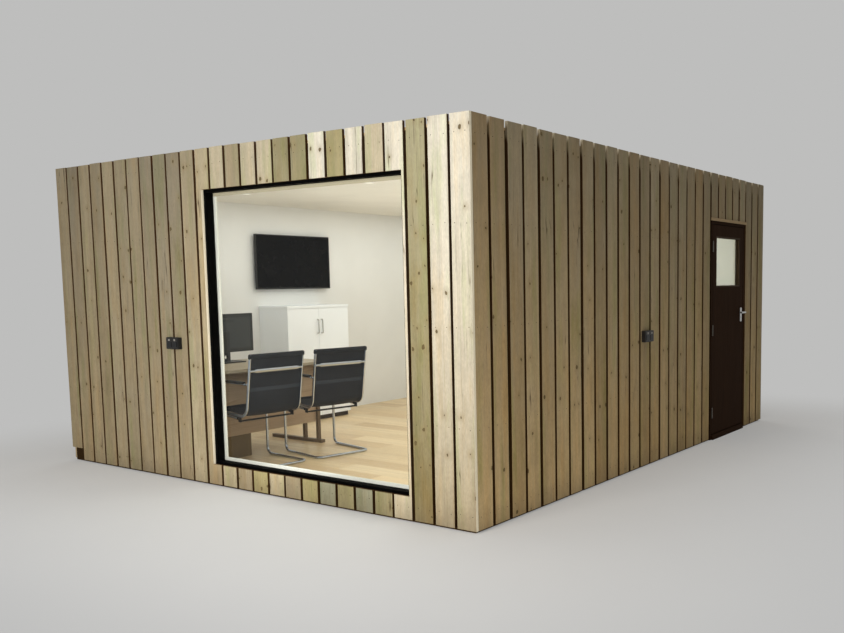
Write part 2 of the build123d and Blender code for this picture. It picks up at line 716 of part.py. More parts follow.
def spreader(side):
    """A flat bar across the chair, lying level, with narrower ends."""
    narrow = spreader_section(CHAIR_SPREADER_NECK)
    wide = spreader_section(CHAIR_SPREADER_HEIGHT)
    middle = side - CHAIR_SPREADER_END
    return extrude(narrow, amount=side, both=True) + extrude(wide, amount=middle, both=True)


def chair_frame():
    """Chromed side rails, spreaders behind and under the sling, arm loops and the bent base
    tube of one chair."""
    side = CHAIR_WIDTH / 2 - CHAIR_RAIL_WIDTH / 2
    front = CHAIR_RECLINE + CHAIR_SEAT_DEPTH
    seat = CHAIR_SEAT_HEIGHT - CHAIR_RAIL_DEPTH / 2
    drop = CHAIR_RAIL_DEPTH / 2 + CHAIR_TUBE_RADIUS - CHAIR_WELD
    nose = front + CHAIR_TUBE_RADIUS + CHAIR_WELD
    low = CHAIR_TUBE_RADIUS
    start = nose - CHAIR_TOP_RUN
    fall = CHAIR_SEAT_DIP * CHAIR_TOP_RUN / CHAIR_SEAT_DEPTH
    route = FilletPolyline(
        (start, side, seat - fall - drop), (nose, side, seat - drop), (nose, side, low),
        (0, side, low), (0, -side, low), (nose, -side, low), (nose, -side, seat - drop),
        (start, -side, seat - fall - drop), radius=CHAIR_TUBE_BEND,
    )
    frame = faceted_bar(route, CHAIR_TUBE_RADIUS)
    arm_back = back_at(CHAIR_ARM_HEIGHT)
    for y in (-side, side):
        frame += flat_strip(y, CHAIR_RAIL_WIDTH, CHAIR_RAIL_DEPTH)
        arm = FilletPolyline(
            (arm_back, y, CHAIR_ARM_HEIGHT), (front - CHAIR_ARM_SETBACK, y, CHAIR_ARM_HEIGHT),
            (front - CHAIR_ARM_SETBACK, y, seat), radius=CHAIR_TUBE_BEND,
        )
        frame += faceted_bar(arm, CHAIR_RAIL_WIDTH / 2)
    behind = CHAIR_SLING / 2 + CHAIR_SPREADER_DEPTH / 2 + CHAIR_WELD
    lean = math.degrees(math.atan2(CHAIR_HEIGHT - CHAIR_REAR, CHAIR_RECLINE))
    x = back_at(CHAIR_BACK_SPREADER) - behind
    frame += Pos(x, 0, CHAIR_BACK_SPREADER) * Rot(0, lean, 0) * spreader(side)
    slope = math.degrees(math.atan2(CHAIR_SEAT_DIP, CHAIR_SEAT_DEPTH))
    for x in CHAIR_SEAT_SPREADERS:
        frame += Pos(x, 0, seat_at(x) - behind) * Rot(0, -slope, 0) * spreader(side)
    return frame


def make_chairs():
    """Two chairs on the floor, backs to the room, each turned a little."""
    frames = []
    slings = []
    for from_right, from_front, turn in CHAIR_PLACES:
        place = Pos(ROOM_RIGHT - from_right, ROOM_FRONT + from_front, FLOOR_TOP)
        place = place * Rot(0, 0, HALF_TURN - turn)
        frames.append(place * chair_frame())
        width = CHAIR_WIDTH - 2 * CHAIR_RAIL_WIDTH
        slings.append(place * flat_strip(0, width, CHAIR_SLING))
    return {
        "chair_frames": Compound(children=frames),
        "chair_slings": Compound(children=slings),
    }


BUILD = {}
for group in (
    make_walls(), make_cladding(), make_floor_and_roof(), make_window(), make_door_frame(),
    make_door_leaf(), make_hinges(), make_lever(), make_sockets(), make_downlights(),
    make_television(), make_cupboard(), make_desk(), make_monitor(), make_chairs(),
):
    BUILD.update(group)

os.makedirs("parts", exist_ok=True)
for name, shape in BUILD.items():
    export_step(shape, f"parts/{name}.step")
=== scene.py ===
import math
import random

import bmesh
import bpy
from mathutils import Matrix, Vector


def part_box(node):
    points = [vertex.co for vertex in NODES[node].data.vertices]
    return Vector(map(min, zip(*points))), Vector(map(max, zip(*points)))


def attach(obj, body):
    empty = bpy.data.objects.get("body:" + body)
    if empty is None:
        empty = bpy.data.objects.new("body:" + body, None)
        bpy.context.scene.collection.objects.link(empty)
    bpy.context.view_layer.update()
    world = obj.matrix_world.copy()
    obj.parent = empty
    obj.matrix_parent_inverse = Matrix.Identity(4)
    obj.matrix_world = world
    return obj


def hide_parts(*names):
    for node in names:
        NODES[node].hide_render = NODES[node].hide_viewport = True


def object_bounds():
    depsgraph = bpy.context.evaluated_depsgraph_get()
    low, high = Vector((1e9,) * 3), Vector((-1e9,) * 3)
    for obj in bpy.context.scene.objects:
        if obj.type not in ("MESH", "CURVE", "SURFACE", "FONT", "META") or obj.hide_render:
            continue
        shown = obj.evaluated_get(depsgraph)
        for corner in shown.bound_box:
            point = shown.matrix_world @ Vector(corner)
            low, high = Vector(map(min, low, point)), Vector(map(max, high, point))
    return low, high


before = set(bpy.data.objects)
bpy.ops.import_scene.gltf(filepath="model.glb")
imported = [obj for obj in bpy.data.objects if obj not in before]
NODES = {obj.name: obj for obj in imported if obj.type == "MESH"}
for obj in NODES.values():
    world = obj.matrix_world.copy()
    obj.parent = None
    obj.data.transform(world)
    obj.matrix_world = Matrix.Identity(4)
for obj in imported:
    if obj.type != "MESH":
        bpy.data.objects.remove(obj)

CAD_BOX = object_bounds()
UP = Vector((0, 0, 1))
ACROSS = Vector((0, 1, 0))

# A distance too small to see, which keeps faces that lie together apart
HAIR = 0.001


def srgb(red, green, blue):
    """A display colour, 0 to 255, as the linear colour that a shader takes."""
    def linear(value):
        share = value / 255
        return share / 12.92 if share <= 0.04045 else ((share + 0.055) / 1.055) ** 2.4
    return (linear(red), linear(green), linear(blue), 1.0)


# Camera, found from the corners, the window and the door in the photograph
CAMERA_PLACE = (5.2905, -6.3914, 1.4850)
CAMERA_TURN = (84.4966, 0.4843, 32.3997)
CAMERA_LENS = 37.2423
CAMERA_SHIFT = (-0.165, 0.057)
CAMERA_REACH = 200.0
SENSOR_WIDTH = 36.0

# Floor and backdrop: the floor fades into the backdrop between two distances from the pod
BACKDROP = srgb(190, 190, 189)
DAYLIGHT = (1.0, 0.995, 0.985, 1.0)
DAYLIGHT_STRENGTH = 0.20
FLOOR_COLOUR = srgb(244, 242, 238)
FLOOR_HALF = 70.0
FADE_START = 0.0
FADE_END = 2.4
FADE_LEAST = 0.40

# Faces of the building that the pieces are set against
WALL_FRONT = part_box("front_wall_left")[0].y
WALL_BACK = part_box("back_wall")[1].y
WALL_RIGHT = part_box("right_wall_front")[1].x
WALL_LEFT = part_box("left_wall")[0].x
WALL_SLACK = 0.002
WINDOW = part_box("window_frame")
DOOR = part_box("door_jambs")
DOOR_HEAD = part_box("right_cladding_over_door")[0].z
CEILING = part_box("ceiling")[0].z

# One cladding board, in metres
BOARD_THICKNESS = 0.020
BOARD_FOOT = 0.015
BOARD_TOP = 2.440
BOARD_CHAMFER = 0.0016
END_CHAMFER = 0.0008
BOARD_CUP = 0.0006
BOARD_BOW = 0.0012
BOARD_STEP = 0.15
TOP_CHANGE = (-0.004, 0.001)
CUT_SHORT_FOOT = 0.110
NARROWEST_STRIP = 0.012

# How a sawn edge strays: the reach of each wave, then what height, number and side of the board add to it
WAVES = ((0.0005, 2.9, 1.7, 2.0), (0.0003, 8.3, 2.9, 1.0))

# Random draws: the seed of each wall and the number before its first board, then the seeds of the rest
WALL_DRAWS = {"front": (11, 0), "right": (23, 100), "left": (37, 200), "back": (41, 300)}
FRONT_GAP_SEED = 3
SIDE_GAP_SEED = 8
PLANK_SEED = 5

# Boards on the front and back, then on the sides: pitch, gap, the gap nearest to the corner, and count
CLAD_FRONT = WALL_FRONT - BOARD_THICKNESS
CLAD_RIGHT = WALL_RIGHT + BOARD_THICKNESS
CLAD_LEFT = WALL_LEFT - BOARD_THICKNESS
FRONT_PITCH = 0.16788
FRONT_GAP = 0.0179
FRONT_FIRST_GAP = 0.1535
FRONT_COUNT = 26
SIDE_PITCH = 0.1737
SIDE_GAP = 0.0237
SIDE_FIRST_GAP = 0.1789
SIDE_COUNT = 28
GAP_CHANGE = (0.92, 1.46)

# Painted shade on the boards' edges where they face a gap, from none to one. Less than none is a pale edge,
# partly the paler wood of a fresh cut and partly painted highlight
CHAMFER_SHADE = 0.6
PALE_END_EDGE = 0.25
# On the side with the door, painted light in place of shade at the tops of the gap sides
PAINTED_LIGHT_TOP = -0.8

# Knots, from none to one: on a usual board, and on the front boards that differ, counted from the left
KNOT_SHARE = 0.24
KNOTTY = {24: 0.85, 25: 0.32, 26: 0.32}

# Heads of nails and screws: radius and thickness, then how deep their backs are sunk
NAIL_HEAD = (0.0030, 0.0008)
ROOF_SCREW = (0.0045, 0.0008)
HINGE_SCREW = (0.0036, 0.0007)
PLATE_SCREW = (0.0038, 0.0012)
NAIL_SUNK = 0.0006
SCREW_SUNK = 0.0004
PLATE_SUNK = 0.0002

# Nails in the boards: heights of the rows, distance from a board's edge and ends, and how far they stray
NAIL_ROWS = (0.10, 0.62, 1.22, 1.82, 2.33)
NAIL_INSET = 0.028
NAIL_CLEAR = 0.02
NAIL_STRAY = (0.004, 0.006)

# Colours of the boards, which come from different trees and have weathered differently
TINTS = {
    "cream": srgb(240, 233, 216),
    "pale": srgb(206, 193, 165),
    "sand": srgb(196, 181, 149),
    "tan": srgb(172, 157, 128),
    "grey_tan": srgb(152, 140, 118),
    "warm_tan": srgb(178, 160, 127),
    "golden": srgb(206, 180, 134),
    "honey": srgb(194, 167, 120),
    "dun": srgb(160, 144, 114),
    "drab": srgb(134, 120, 84),
    "brown_tan": srgb(166, 144, 108),
    "olive": srgb(152, 143, 106),
    "olive_yellow": srgb(170, 158, 112),
    "pale_olive": srgb(177, 169, 131),
    "grey_green": srgb(142, 140, 114),
}
# Pairs of foot and top tints. Most common pairs are darker and greyer at the top, which is partly painted
# shade towards the top of the wall
COMMON_TINTS = (("warm_tan", "grey_tan"), ("tan", "tan"), ("tan", "grey_tan"), ("warm_tan", "tan"))
SIDE_TINTS = (("golden", "tan"), ("honey", "dun"), ("golden", "brown_tan"), ("golden", "dun"),
              ("honey", "tan"))
TINT_CHANGE = (0.90, 1.08)

# The boards that stand out on the front, counted from the left, as foot and top tints
FRONT_NOTED = {
    9: ("tan", "grey_tan"), 11: ("sand", "tan"), 12: ("warm_tan", "sand"),
    13: ("sand", "pale"), 14: ("tan", "tan"), 15: ("olive_yellow", "pale"), 16: ("sand", "pale"),
    17: ("tan", "olive"), 18: ("olive_yellow", "olive"), 19: ("grey_green", "cream"),
    20: ("olive", "olive_yellow"), 21: ("grey_green", "cream"), 22: ("olive", "pale"),
    23: ("pale", "cream"), 24: ("drab", "pale_olive"), 25: ("tan", "cream"), 26: ("tan", "cream"),
}

# Floor planks and roof sheets, laid in rows. A sheet has so many screws along it and across it
PLANK_TINTS = (srgb(221, 196, 155), srgb(215, 189, 147), srgb(226, 203, 164), srgb(210, 182, 140))
PLANK_SIZE = (1.285, 0.192)
PLANK_JOINT = 0.0004
PLANK_BEVEL = 0.0006
PLANK_STAGGER = (0.15, 0.85)
PLANK_CHANGE = (0.94, 1.04)
SHEET_SIZE = (2.44, 1.22)
SHEET_JOINT = 0.004
SHEET_BEVEL = 0.0012
SHEET_SCREWS = (5, 4)
SCREW_INSET = 0.030
ROW_SLACK = 0.01
SHORTEST_TILE = 0.03

# Layers of strands on a roof sheet: each one's turn in degrees, and a number that sets its pattern
STRAND_TURNS = ((8.0, 0.0), (52.0, 4.7), (104.0, 9.1), (151.0, 13.9))

# Height of the bead along the window's head
HEAD_BEAD = 0.043

# Cupboard: its plinth, and how deep and how far down from its top the bar pulls lie
CUPBOARD_PLINTH = 0.050
PULL_DEPTH = 0.030
PULL_DROP = 0.060

# Butt hinges in the gap between the door and its frame, with screws at shares of their length
HINGE_GAP = 0.005
HINGE_PLATE = 0.0019
HINGE_LENGTH = 0.099
HINGE_SCREWS = ((0.14, 0.011), (0.5, 0.019), (0.86, 0.011))

# Lever plates: screws from each end, keyhole's height, its head, and its slot's half width, foot and top
PLATE_SCREW_INSET = 0.010
KEYHOLE_HEIGHT = 0.045
KEYHOLE = (0.0045, 0.0005)
KEY_SLOT = (0.0017, 0.029, 0.044)

# Sockets: each part's slot, places across, height and size as shares of the face, then relief and edge
SOCKET_PARTS = {
    "plate": ("socket_metal", (0.0,), 0.0, (0.90, 0.86), 0.002, 0.0009),
    "hatches": ("socket_metal", (-0.22, 0.22), -0.10, (0.34, 0.46), 0.0045, 0.0008),
    "rockers": ("light_white", (-0.22, 0.22), 0.28, (0.13, 0.17), 0.005, 0.0008),
}

# Downlights: radius of the rim, and the lens in it
DOWNLIGHT_RADIUS = 0.042
LENS_RADIUS = 0.030
LENS_SUNK = 0.0005
LENS_THICKNESS = 0.0009
LENS_DOME = 0.0008

# Screens: edge all round, chin, corner and relief of each panel, and the share of its relief that slopes
TELEVISION_PANEL = (0.010, 0.016, 0.004, 0.0008)
MONITOR_PANEL = (0.008, 0.012, 0.003, 0.0008)
MONITOR_COVER = (0.034, 0.030, 0.014, 0.005)
PANEL_SLOPE = 0.6

# Monitor: its panel without the neck and foot, and the vents on its back
MONITOR_HEIGHT = 0.335
MONITOR_THICKNESS = 0.022
MONITOR_FOOT_BEHIND = 0.047
VENTS = 26
VENT_PITCH = 0.0085
VENT_DROP = 0.062
VENT_HALF = (0.0014, 0.009)
VENT_DEPTHS = (0.0040, 0.0053)
VENT_BEVEL = 0.0003

# Visitor chairs: place of each on the floor and its turn, then the sizes of one chair
CHAIR_PLACES = (((-0.1395, -1.9185), 5.0), ((-0.0495, -1.3475), 11.0))
CHAIR_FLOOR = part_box("floor_boards")[1].z
CHAIR_HALF = 0.234
SEAT_FRONT = (0.510, 0.438)
SEAT_BACK = (0.080, 0.408)
BACK_TOP = (0.000, 0.888)
SEAT_BEND = 0.080
RAIL_SECTION = (0.012, 0.024, 0.004)
TUBE_RADIUS = 0.011
SLED_TOP_BACK = (0.192, 0.393)
SLED_TOP_FRONT = (0.522, 0.416)
SLED_BEND = 0.05

# Arms, their pads, and the collars on each arm as place forward, height, axis, radius and length
ARM_RADIUS = 0.0066
ARM_HEIGHT = 0.660
ARM_FRONT = 0.420
ARM_BACK = 0.038
ARM_BEND = 0.050
ARM_SINK = 0.006
PAD_START = 0.098
PAD_LENGTH = 0.262
PAD_SIZE = (0.038, 0.017)
PAD_LIFT = 0.006
COLLARS = (
    (ARM_BACK + 0.012, ARM_HEIGHT, (1, 0, 0), 0.0105, 0.030),
    (PAD_START - 0.012, ARM_HEIGHT, (1, 0, 0), 0.0095, 0.018),
    (ARM_FRONT, SEAT_FRONT[1] + 0.004, (0, 0, 1), 0.0095, 0.022),
)
COLLAR_SWELL = ((-0.5, 0.55), (-0.38, 0.9), (0.0, 1.0), (0.38, 0.9), (0.5, 0.55))

# Flat oval bars across the back and under the seat, which hang on brackets there
BACK_BAR_HEIGHT = 0.762
SEAT_BARS = (0.170, 0.440)
BAR_SIDES = 16
BAR_WIDE = 0.030
BAR_NARROW = 0.017
BAR_DEPTH = 0.012
BAR_SQUARENESS = 0.75
BAR_NECK = 0.046
BAR_SWELL = ((0.0, 0.0), (BAR_NECK - 0.010, 0.0), (BAR_NECK, 0.72), (BAR_NECK + 0.007, 1.0))
BAR_BEHIND = 0.011
BAR_DROP = 0.042
BRACKET_HALF = (0.018, 0.005)
BRACKET_BELOW = 0.007
BRACKET_BEVEL = 0.003

# Slings of woven mesh, with a hem at each end and two seams at distances from each end
SLING_HALF = 0.228
SLING_THICKNESS = 0.004
SLING_SAG = 0.006
SLING_GRID = (150, 16)
THREAD_PITCH = 0.0026
SEAM_PLACES = (0.255, 0.292)
SEAM_WIDTH = 0.0035
SEAM_DEPTH = 0.0028
HEM_HALF = 0.2435
HEM_DEPTH = 0.040
HEM_THICKNESS = 0.027
HEM_BEHIND = 0.004
HEM_CORNER = 0.42
HEM_SWELL = ((1.0, 0.80), (0.985, 0.95), (0.96, 1.0), (0.6, 1.0), (0.0, 1.0))

# Lamps: name, place, target, size, power, colour and whether mirrors show it. The last three light the room
LAMPS = (
    ("top_lamp", (0.5, -0.5, 8.5), (0.5, -0.5, 0.0), (11.0, 11.0), 250.0, (1.0, 1.0, 1.0), True),
    ("key_lamp", (1.8, -6.9, 1.7), (1.5, -2.4, 1.2), (2.4, 2.0), 205.0, (1.0, 0.99, 0.97), False),
    ("side_lamp", (5.5, -2.8, 0.8), (2.2, -1.2, 0.9), (2.4, 1.2), 19.0, (1.0, 0.95, 0.86), True),
    ("back_lamp", (-7.0, 7.5, 2.2), (-1.0, 1.0, 1.2), (4.0, 3.0), 190.0, (1.0, 0.99, 0.97), True),
    ("room_lamp", (0.0, 0.0, CEILING - 0.02), (0.0, 0.0, 0.0), (3.4, 3.9), 50.0, (0.96, 0.985, 1.0), False),
    ("ceiling_lamp", (0.0, 0.0, 1.3), (0.0, 0.0, 2.2), (2.6, 3.0), 13.0, (1.0, 0.985, 0.96), False),
    ("window_lamp", (0.9, -2.30, 1.1), (0.2, 0.0, 0.9), (1.4, 1.7), 13.0, (1.0, 0.99, 0.97), False),
)


class Tree:
    """Short calls for building the node tree of a material, or of the world."""

    def __init__(self, name, world=None):
        self.owner = world or bpy.data.materials.new(name)
        self.owner.use_nodes = True
        self.nodes = self.owner.node_tree.nodes
        self.links = self.owner.node_tree.links
        self.shader = self.nodes["Background" if world else "Principled BSDF"]
        self.surface = self.nodes["World Output" if world else "Material Output"].inputs["Surface"]

    def put(self, socket, value):
        if isinstance(value, bpy.types.NodeSocket):
            self.links.new(value, socket)
        elif value is not None:
            socket.default_value = value

    def node(self, kind, *values, **settings):
        """A new node with its settings, and with its first sockets filled in order."""
        made = self.nodes.new(f"ShaderNode{kind}")
        for key, value in settings.items():
            setattr(made, key, value)
        for socket, value in zip(made.inputs, values):
            self.put(socket, value)
        return made

    def math(self, operation, *values):
        return self.node("Math", *values, operation=operation).outputs[0]

    def minus(self, first, second):
        return self.math("SUBTRACT", first, second)

    def above(self, value, limit):
        return self.math("GREATER_THAN", value, limit)

    def below(self, value, limit):
        return self.math("LESS_THAN", value, limit)

    def times(self, first, *others):
        for other in others:
            first = self.math("MULTIPLY", first, other)
        return first

    def summed(self, base, *parts):
        """A base with further values added, each by its own weight."""
        for value, weight in parts:
            base = self.math("MULTIPLY_ADD", value, weight, base)
        return base

    def vector(self, operation, *values):
        made = self.node("VectorMath", *values, operation=operation)
        return made.outputs["Value" if operation == "LENGTH" else "Vector"]

    def separate(self, value):
        return tuple(self.node("SeparateXYZ", value).outputs)

    def combine(self, x, y, z):
        return self.node("CombineXYZ", x, y, z).outputs[0]

    def place(self):
        return self.node("TexCoord").outputs["Object"]

    def attribute(self, name, output):
        return self.node("Attribute", attribute_name=name).outputs[output]

    def noise(self, vector, scale, detail=2.0, roughness=0.5):
        """Noise with one scale, or with three along X, Y and Z."""
        if isinstance(scale, tuple):
            vector, scale = self.vector("MULTIPLY", vector, scale), 1.0
        made = self.node("TexNoise")
        for name, value in (("Vector", vector), ("Scale", scale), ("Detail", detail),
                            ("Roughness", roughness)):
            self.put(made.inputs[name], value)
        return made.outputs[0]

    def chance(self, number):
        """Three random numbers that stay the same all over one board."""
        made = self.node("TexWhiteNoise", noise_dimensions="1D")
        self.put(made.inputs["W"], number)
        return self.separate(made.outputs["Color"])

    def cells(self, vector, dimensions, randomness):
        made = self.node("TexVoronoi", voronoi_dimensions=dimensions)
        for name, value in (("Vector", vector), ("Scale", 1.0), ("Randomness", randomness)):
            self.put(made.inputs[name], value)
        return made.outputs

    def span(self, value, low, high, to_low=0.0, to_high=1.0, smooth=False):
        kind = "SMOOTHSTEP" if smooth else "LINEAR"
        return self.node("MapRange", value, low, high, to_low, to_high, interpolation_type=kind).outputs[0]

    def bell(self, value, width):
        """One at nought, falling away on both sides over about that width."""
        ratio = self.math("DIVIDE", value, width)
        return self.math("EXPONENT", self.times(ratio, ratio, -1.0))

    def ramp(self, value, *stops):
        """A colour or grey that changes between stops."""
        made = self.node("ValToRGB", value)
        elements = made.color_ramp.elements
        while len(elements) < len(stops):
            elements.new(0.5)
        for element, (position, colour) in zip(elements, stops):
            element.position = position
            element.color = colour if isinstance(colour, tuple) else (colour, colour, colour, 1.0)
        return made.outputs[0]

    def scaled(self, colour, share):
        """A colour made brighter or darker by a share."""
        colour = colour[:3] if isinstance(colour, tuple) else colour
        return self.vector("SCALE", colour, None, None, share)

    def varied(self, colour, noise, low, high):
        """A colour whose brightness follows a noise from a low to a high share."""
        return self.scaled(colour, self.span(noise, 0.3, 0.7, low, high))

    def mix(self, share, first, second):
        made = self.node("Mix", share, data_type="RGBA")
        self.put(made.inputs[6], first)
        self.put(made.inputs[7], second)
        return made.outputs[2]

    def coats(self, base, *layers):
        """A base colour with others laid over it, each by its own share."""
        for share, colour in layers:
            base = self.mix(share, base, colour)
        return base

    def bump(self, height, distance):
        made = self.node("Bump")
        self.put(made.inputs["Distance"], distance)
        self.put(made.inputs["Height"], height)
        return made.outputs[0]

    def finish(self, colour=None, roughness=None, normal=None, metallic=None, **fixed):
        """Fills the main shader's sockets, and returns the material."""
        for name, value in (("Base Color", colour), ("Roughness", roughness),
                            ("Normal", normal), ("Metallic", metallic)):
            self.put(self.shader.inputs[name], value)
        for name, value in fixed.items():
            self.shader.inputs[name.replace("_", " ")].default_value = value
        return self.owner

    def seen(self):
        """One where the camera, a mirror or a pane looks straight at the surface."""
        rays = self.node("LightPath").outputs
        straight = self.math("MAXIMUM", rays["Is Camera Ray"], rays["Is Glossy Ray"])
        return self.math("MAXIMUM", straight, rays["Is Transmission Ray"])

    def show(self, share, first, second):
        """Shows one shader on the surface, with a share of a second one."""
        both = self.node("MixShader", share, first.outputs[0], second.outputs[0])
        self.put(self.surface, both.outputs[0])


def knot_field(tree, place, share, cell, sizes):
    """The nearest knot of sawn wood: how much a point is in it, on its rim or near it, and how far the grain
    is pushed aside round it."""
    scaled = tree.vector("DIVIDE", place, (cell[0], cell[1], 1.0))
    found = tree.cells(scaled, "2D", 0.75)
    away = tree.vector("SUBTRACT", scaled, found["Position"])
    away = tree.vector("MULTIPLY", away, (cell[0], cell[1], 0.0))
    red, green, _ = tree.separate(found["Color"])
    there = tree.above(share, green)
    size = tree.span(tree.times(red, red), 0.0, 1.0, *sizes)
    round_reach = tree.vector("LENGTH", tree.vector("MULTIPLY", away, (1.0, 0.78, 0.0)))
    uneven = tree.minus(tree.noise(place, (95.0, 45.0, 0.0)), 0.5)
    reach = tree.summed(round_reach, (uneven, 0.016))
    edge = tree.minus(reach, size)
    core = tree.times(there, tree.span(edge, 0.0022, -0.0016, smooth=True))
    rim = tree.times(there, tree.bell(edge, 0.0018))
    halo = tree.times(there, tree.bell(reach, 0.024))
    oval_reach = tree.vector("LENGTH", tree.vector("MULTIPLY", away, (2.4, 1.0, 0.0)))
    bend = tree.times(there, tree.bell(oval_reach, 0.055))
    push = tree.times(tree.separate(away)[0], bend, 0.85)
    return core, rim, halo, push


def growth_rings(tree, across, depth, place, chances, spacing):
    """Growth rings round a pith line behind the board's face, as lines that end sharply at the late wood."""
    pith = tree.span(chances[0], 0.0, 1.0, -0.07, 0.07)
    behind = tree.math("ADD", depth, tree.span(chances[1], 0.0, 1.0, 0.015, 0.11))
    radius = tree.vector("LENGTH", tree.combine(tree.minus(across, pith), behind, 0.0))
    radius = tree.summed(radius, (tree.noise(place, (7.0, 0.8, 7.0)), 0.012))
    gap = tree.span(chances[2], 0.0, 1.0, spacing * 0.75, spacing * 1.35)
    turn = tree.math("FRACT", tree.math("DIVIDE", radius, gap))
    return tree.ramp(turn, (0.0, 0.0), (0.5, 0.12), (0.86, 1.0), (1.0, 0.0))


def board_figure(tree, steps, knots, cell, sizes, spacing):
    """What each board's own number and grain give a point: its place in the wood, how far up it lies, its
    growth rings, and its knot's core, rim and halo."""
    number = tree.attribute("seed", "Fac")
    across, along, depth = tree.separate(tree.attribute("grain", "Vector"))
    place = tree.combine(tree.summed(across, (number, steps[0])),
                         tree.summed(along, (number, steps[1])), depth)
    core, rim, halo, push = knot_field(tree, place, knots, cell, sizes)
    rings = growth_rings(tree, tree.minus(across, push), depth, place, tree.chance(number), spacing)
    return place, along, rings, core, rim, halo


def sawn_board():
    """Rough sawn softwood, with the tint, painted edge shade and highlight, and share of knots that each
    board carries.
    """
    tree = Tree("sawn_board")
    place, along, rings, core, rim, halo = board_figure(
        tree, (3.17, 1.71), tree.attribute("tint", "Alpha"), (0.078, 0.24), (0.0028, 0.0105), 0.0056)
    soil = tree.attribute("soil", "Fac")
    fibre = tree.noise(place, (190.0, 5.0, 190.0), 3.0, 0.6)
    speck = tree.noise(place, (110.0, 40.0, 110.0), 3.0, 0.6)
    streak = tree.noise(place, (24.0, 0.5, 24.0), 4.0, 0.6)
    mottle = tree.noise(place, (26.0, 8.0, 26.0), 3.0, 0.6)
    blotch = tree.noise(place, (6.0, 1.8, 6.0), 4.0, 0.6)
    moss = tree.noise(place, (12.0, 1.1, 12.0), 3.0, 0.6)
    split = tree.noise(place, (34.0, 0.9, 34.0), 1.0)
    saw = tree.noise(place, (5.0, 330.0, 5.0), 1.0)
    check = tree.times(tree.bell(tree.minus(split, 0.5), 0.009), tree.span(blotch, 0.54, 0.62))
    tone = tree.times(tree.span(streak, 0.28, 0.72, 0.84, 1.08), tree.span(fibre, 0.2, 0.8, 0.95, 1.04),
                      tree.span(speck, 0.3, 0.7, 0.90, 1.07), tree.span(mottle, 0.3, 0.7, 0.90, 1.07),
                      tree.span(blotch, 0.3, 0.7, 0.86, 1.08))
    wood = tree.scaled(tree.attribute("tint", "Color"), tone)
    for share, change in ((tree.span(moss, 0.52, 0.68), (0.85, 0.93, 0.76)),
                          (tree.span(moss, 0.48, 0.34), (1.02, 0.96, 0.86)),
                          (tree.times(rings, 0.40), (0.82, 0.72, 0.58))):
        wood = tree.mix(share, wood, tree.vector("MULTIPLY", wood, change))
    wood = tree.coats(
        wood,
        (tree.span(tree.summed(blotch, (along, 0.10)), 0.50, 0.85, 0.0, 0.38), srgb(146, 140, 124)),
        (tree.span(tree.summed(along, (blotch, 0.16)), 0.05, 0.24, 0.45, 0.0), srgb(110, 97, 78)),
        (tree.times(halo, 0.38), srgb(140, 122, 84)),
        (tree.times(core, 0.9), tree.mix(fibre, srgb(74, 60, 38), srgb(118, 100, 66))),
        (tree.times(rim, 0.60), srgb(62, 48, 30)),
        (tree.times(check, 0.8), srgb(70, 54, 34)),
        # Painted shade on the sides of the gaps, then pale cut edges, partly paler fresh wood and partly
        # painted highlight
        (tree.span(soil, 0.15, 0.62, 0.0, 0.94, smooth=True), srgb(66, 38, 8)),
        (tree.span(soil, -0.15, -0.6, 0.0, 0.9), srgb(250, 240, 214)))
    height = tree.summed(tree.times(saw, 0.3), (fibre, 0.5), (rings, 0.25), (core, 0.4), (check, -1.5))
    return tree.finish(wood, tree.span(fibre, 0.2, 0.8, 0.70, 0.88), tree.bump(height, 0.0006),
                       Specular_IOR_Level=0.10)


def laminate():
    """Oak laminate planks, each with its own figure, under a satin wear layer."""
    tree = Tree("laminate")
    place, _, rings, core, *_ = board_figure(tree, (2.3, 3.9), 0.22, (0.15, 0.55), (0.004, 0.012), 0.011)
    pore = tree.noise(place, (420.0, 14.0, 1.0), 2.0, 0.6)
    band = tree.noise(place, (22.0, 0.9, 1.0), 3.0, 0.6)
    wood = tree.coats(tree.varied(tree.attribute("tint", "Color"), band, 0.88, 1.05),
                      (tree.times(rings, 0.36), srgb(172, 134, 88)),
                      (tree.span(pore, 0.55, 0.78, 0.0, 0.35), srgb(146, 112, 74)),
                      (tree.times(core, 0.8), srgb(92, 60, 34)))
    return tree.finish(wood, tree.span(pore, 0.3, 0.7, 0.30, 0.44), tree.bump(pore, 0.00012))


def planed_timber(name, axes, dark, light, rough=(0.45, 0.6), ring=0.006, relief=0.0002, gloss=0.3):
    """Planed and stained timber on a CAD node. The axes are the columns for across, along and depth."""
    tree = Tree(name)
    columns = dict(zip("XYZ", tree.separate(tree.place())))
    place = tree.combine(*(columns[axis] for axis in axes))
    wide = tree.noise(place, (9.0, 0.5, 9.0))
    fibre = tree.noise(place, (230.0, 4.0, 230.0), 3.0, 0.6)
    turn = tree.math("FRACT", tree.math("DIVIDE", tree.summed(columns[axes[0]], (wide, 0.16)), ring))
    rings = tree.ramp(turn, (0.0, 0.0), (0.6, 0.3), (0.9, 1.0), (1.0, 0.1))
    share = tree.summed(tree.times(fibre, 0.6), (rings, 0.45), (wide, 0.3))
    colour = tree.mix(tree.span(share, 0.2, 1.0), light, dark)
    return tree.finish(colour, tree.span(fibre, 0.3, 0.7, *rough),
                       tree.bump(tree.summed(fibre, (rings, 0.4)), relief), Specular_IOR_Level=gloss)


def painted(tree, colour, rough, grain, relief, tones=(0.95, 1.02)):
    """Paint with a fine roller texture, and slow, slight changes of tone."""
    place = tree.place()
    shade = tree.varied(colour, tree.noise(place, 2.3, 4.0, 0.6), *tones)
    smudge = tree.span(tree.noise(place, 14.0, 3.0), 0.35, 0.7, rough - 0.05, rough + 0.08)
    return tree.finish(shade, smudge, tree.bump(tree.noise(place, grain, 3.0, 0.6), relief))


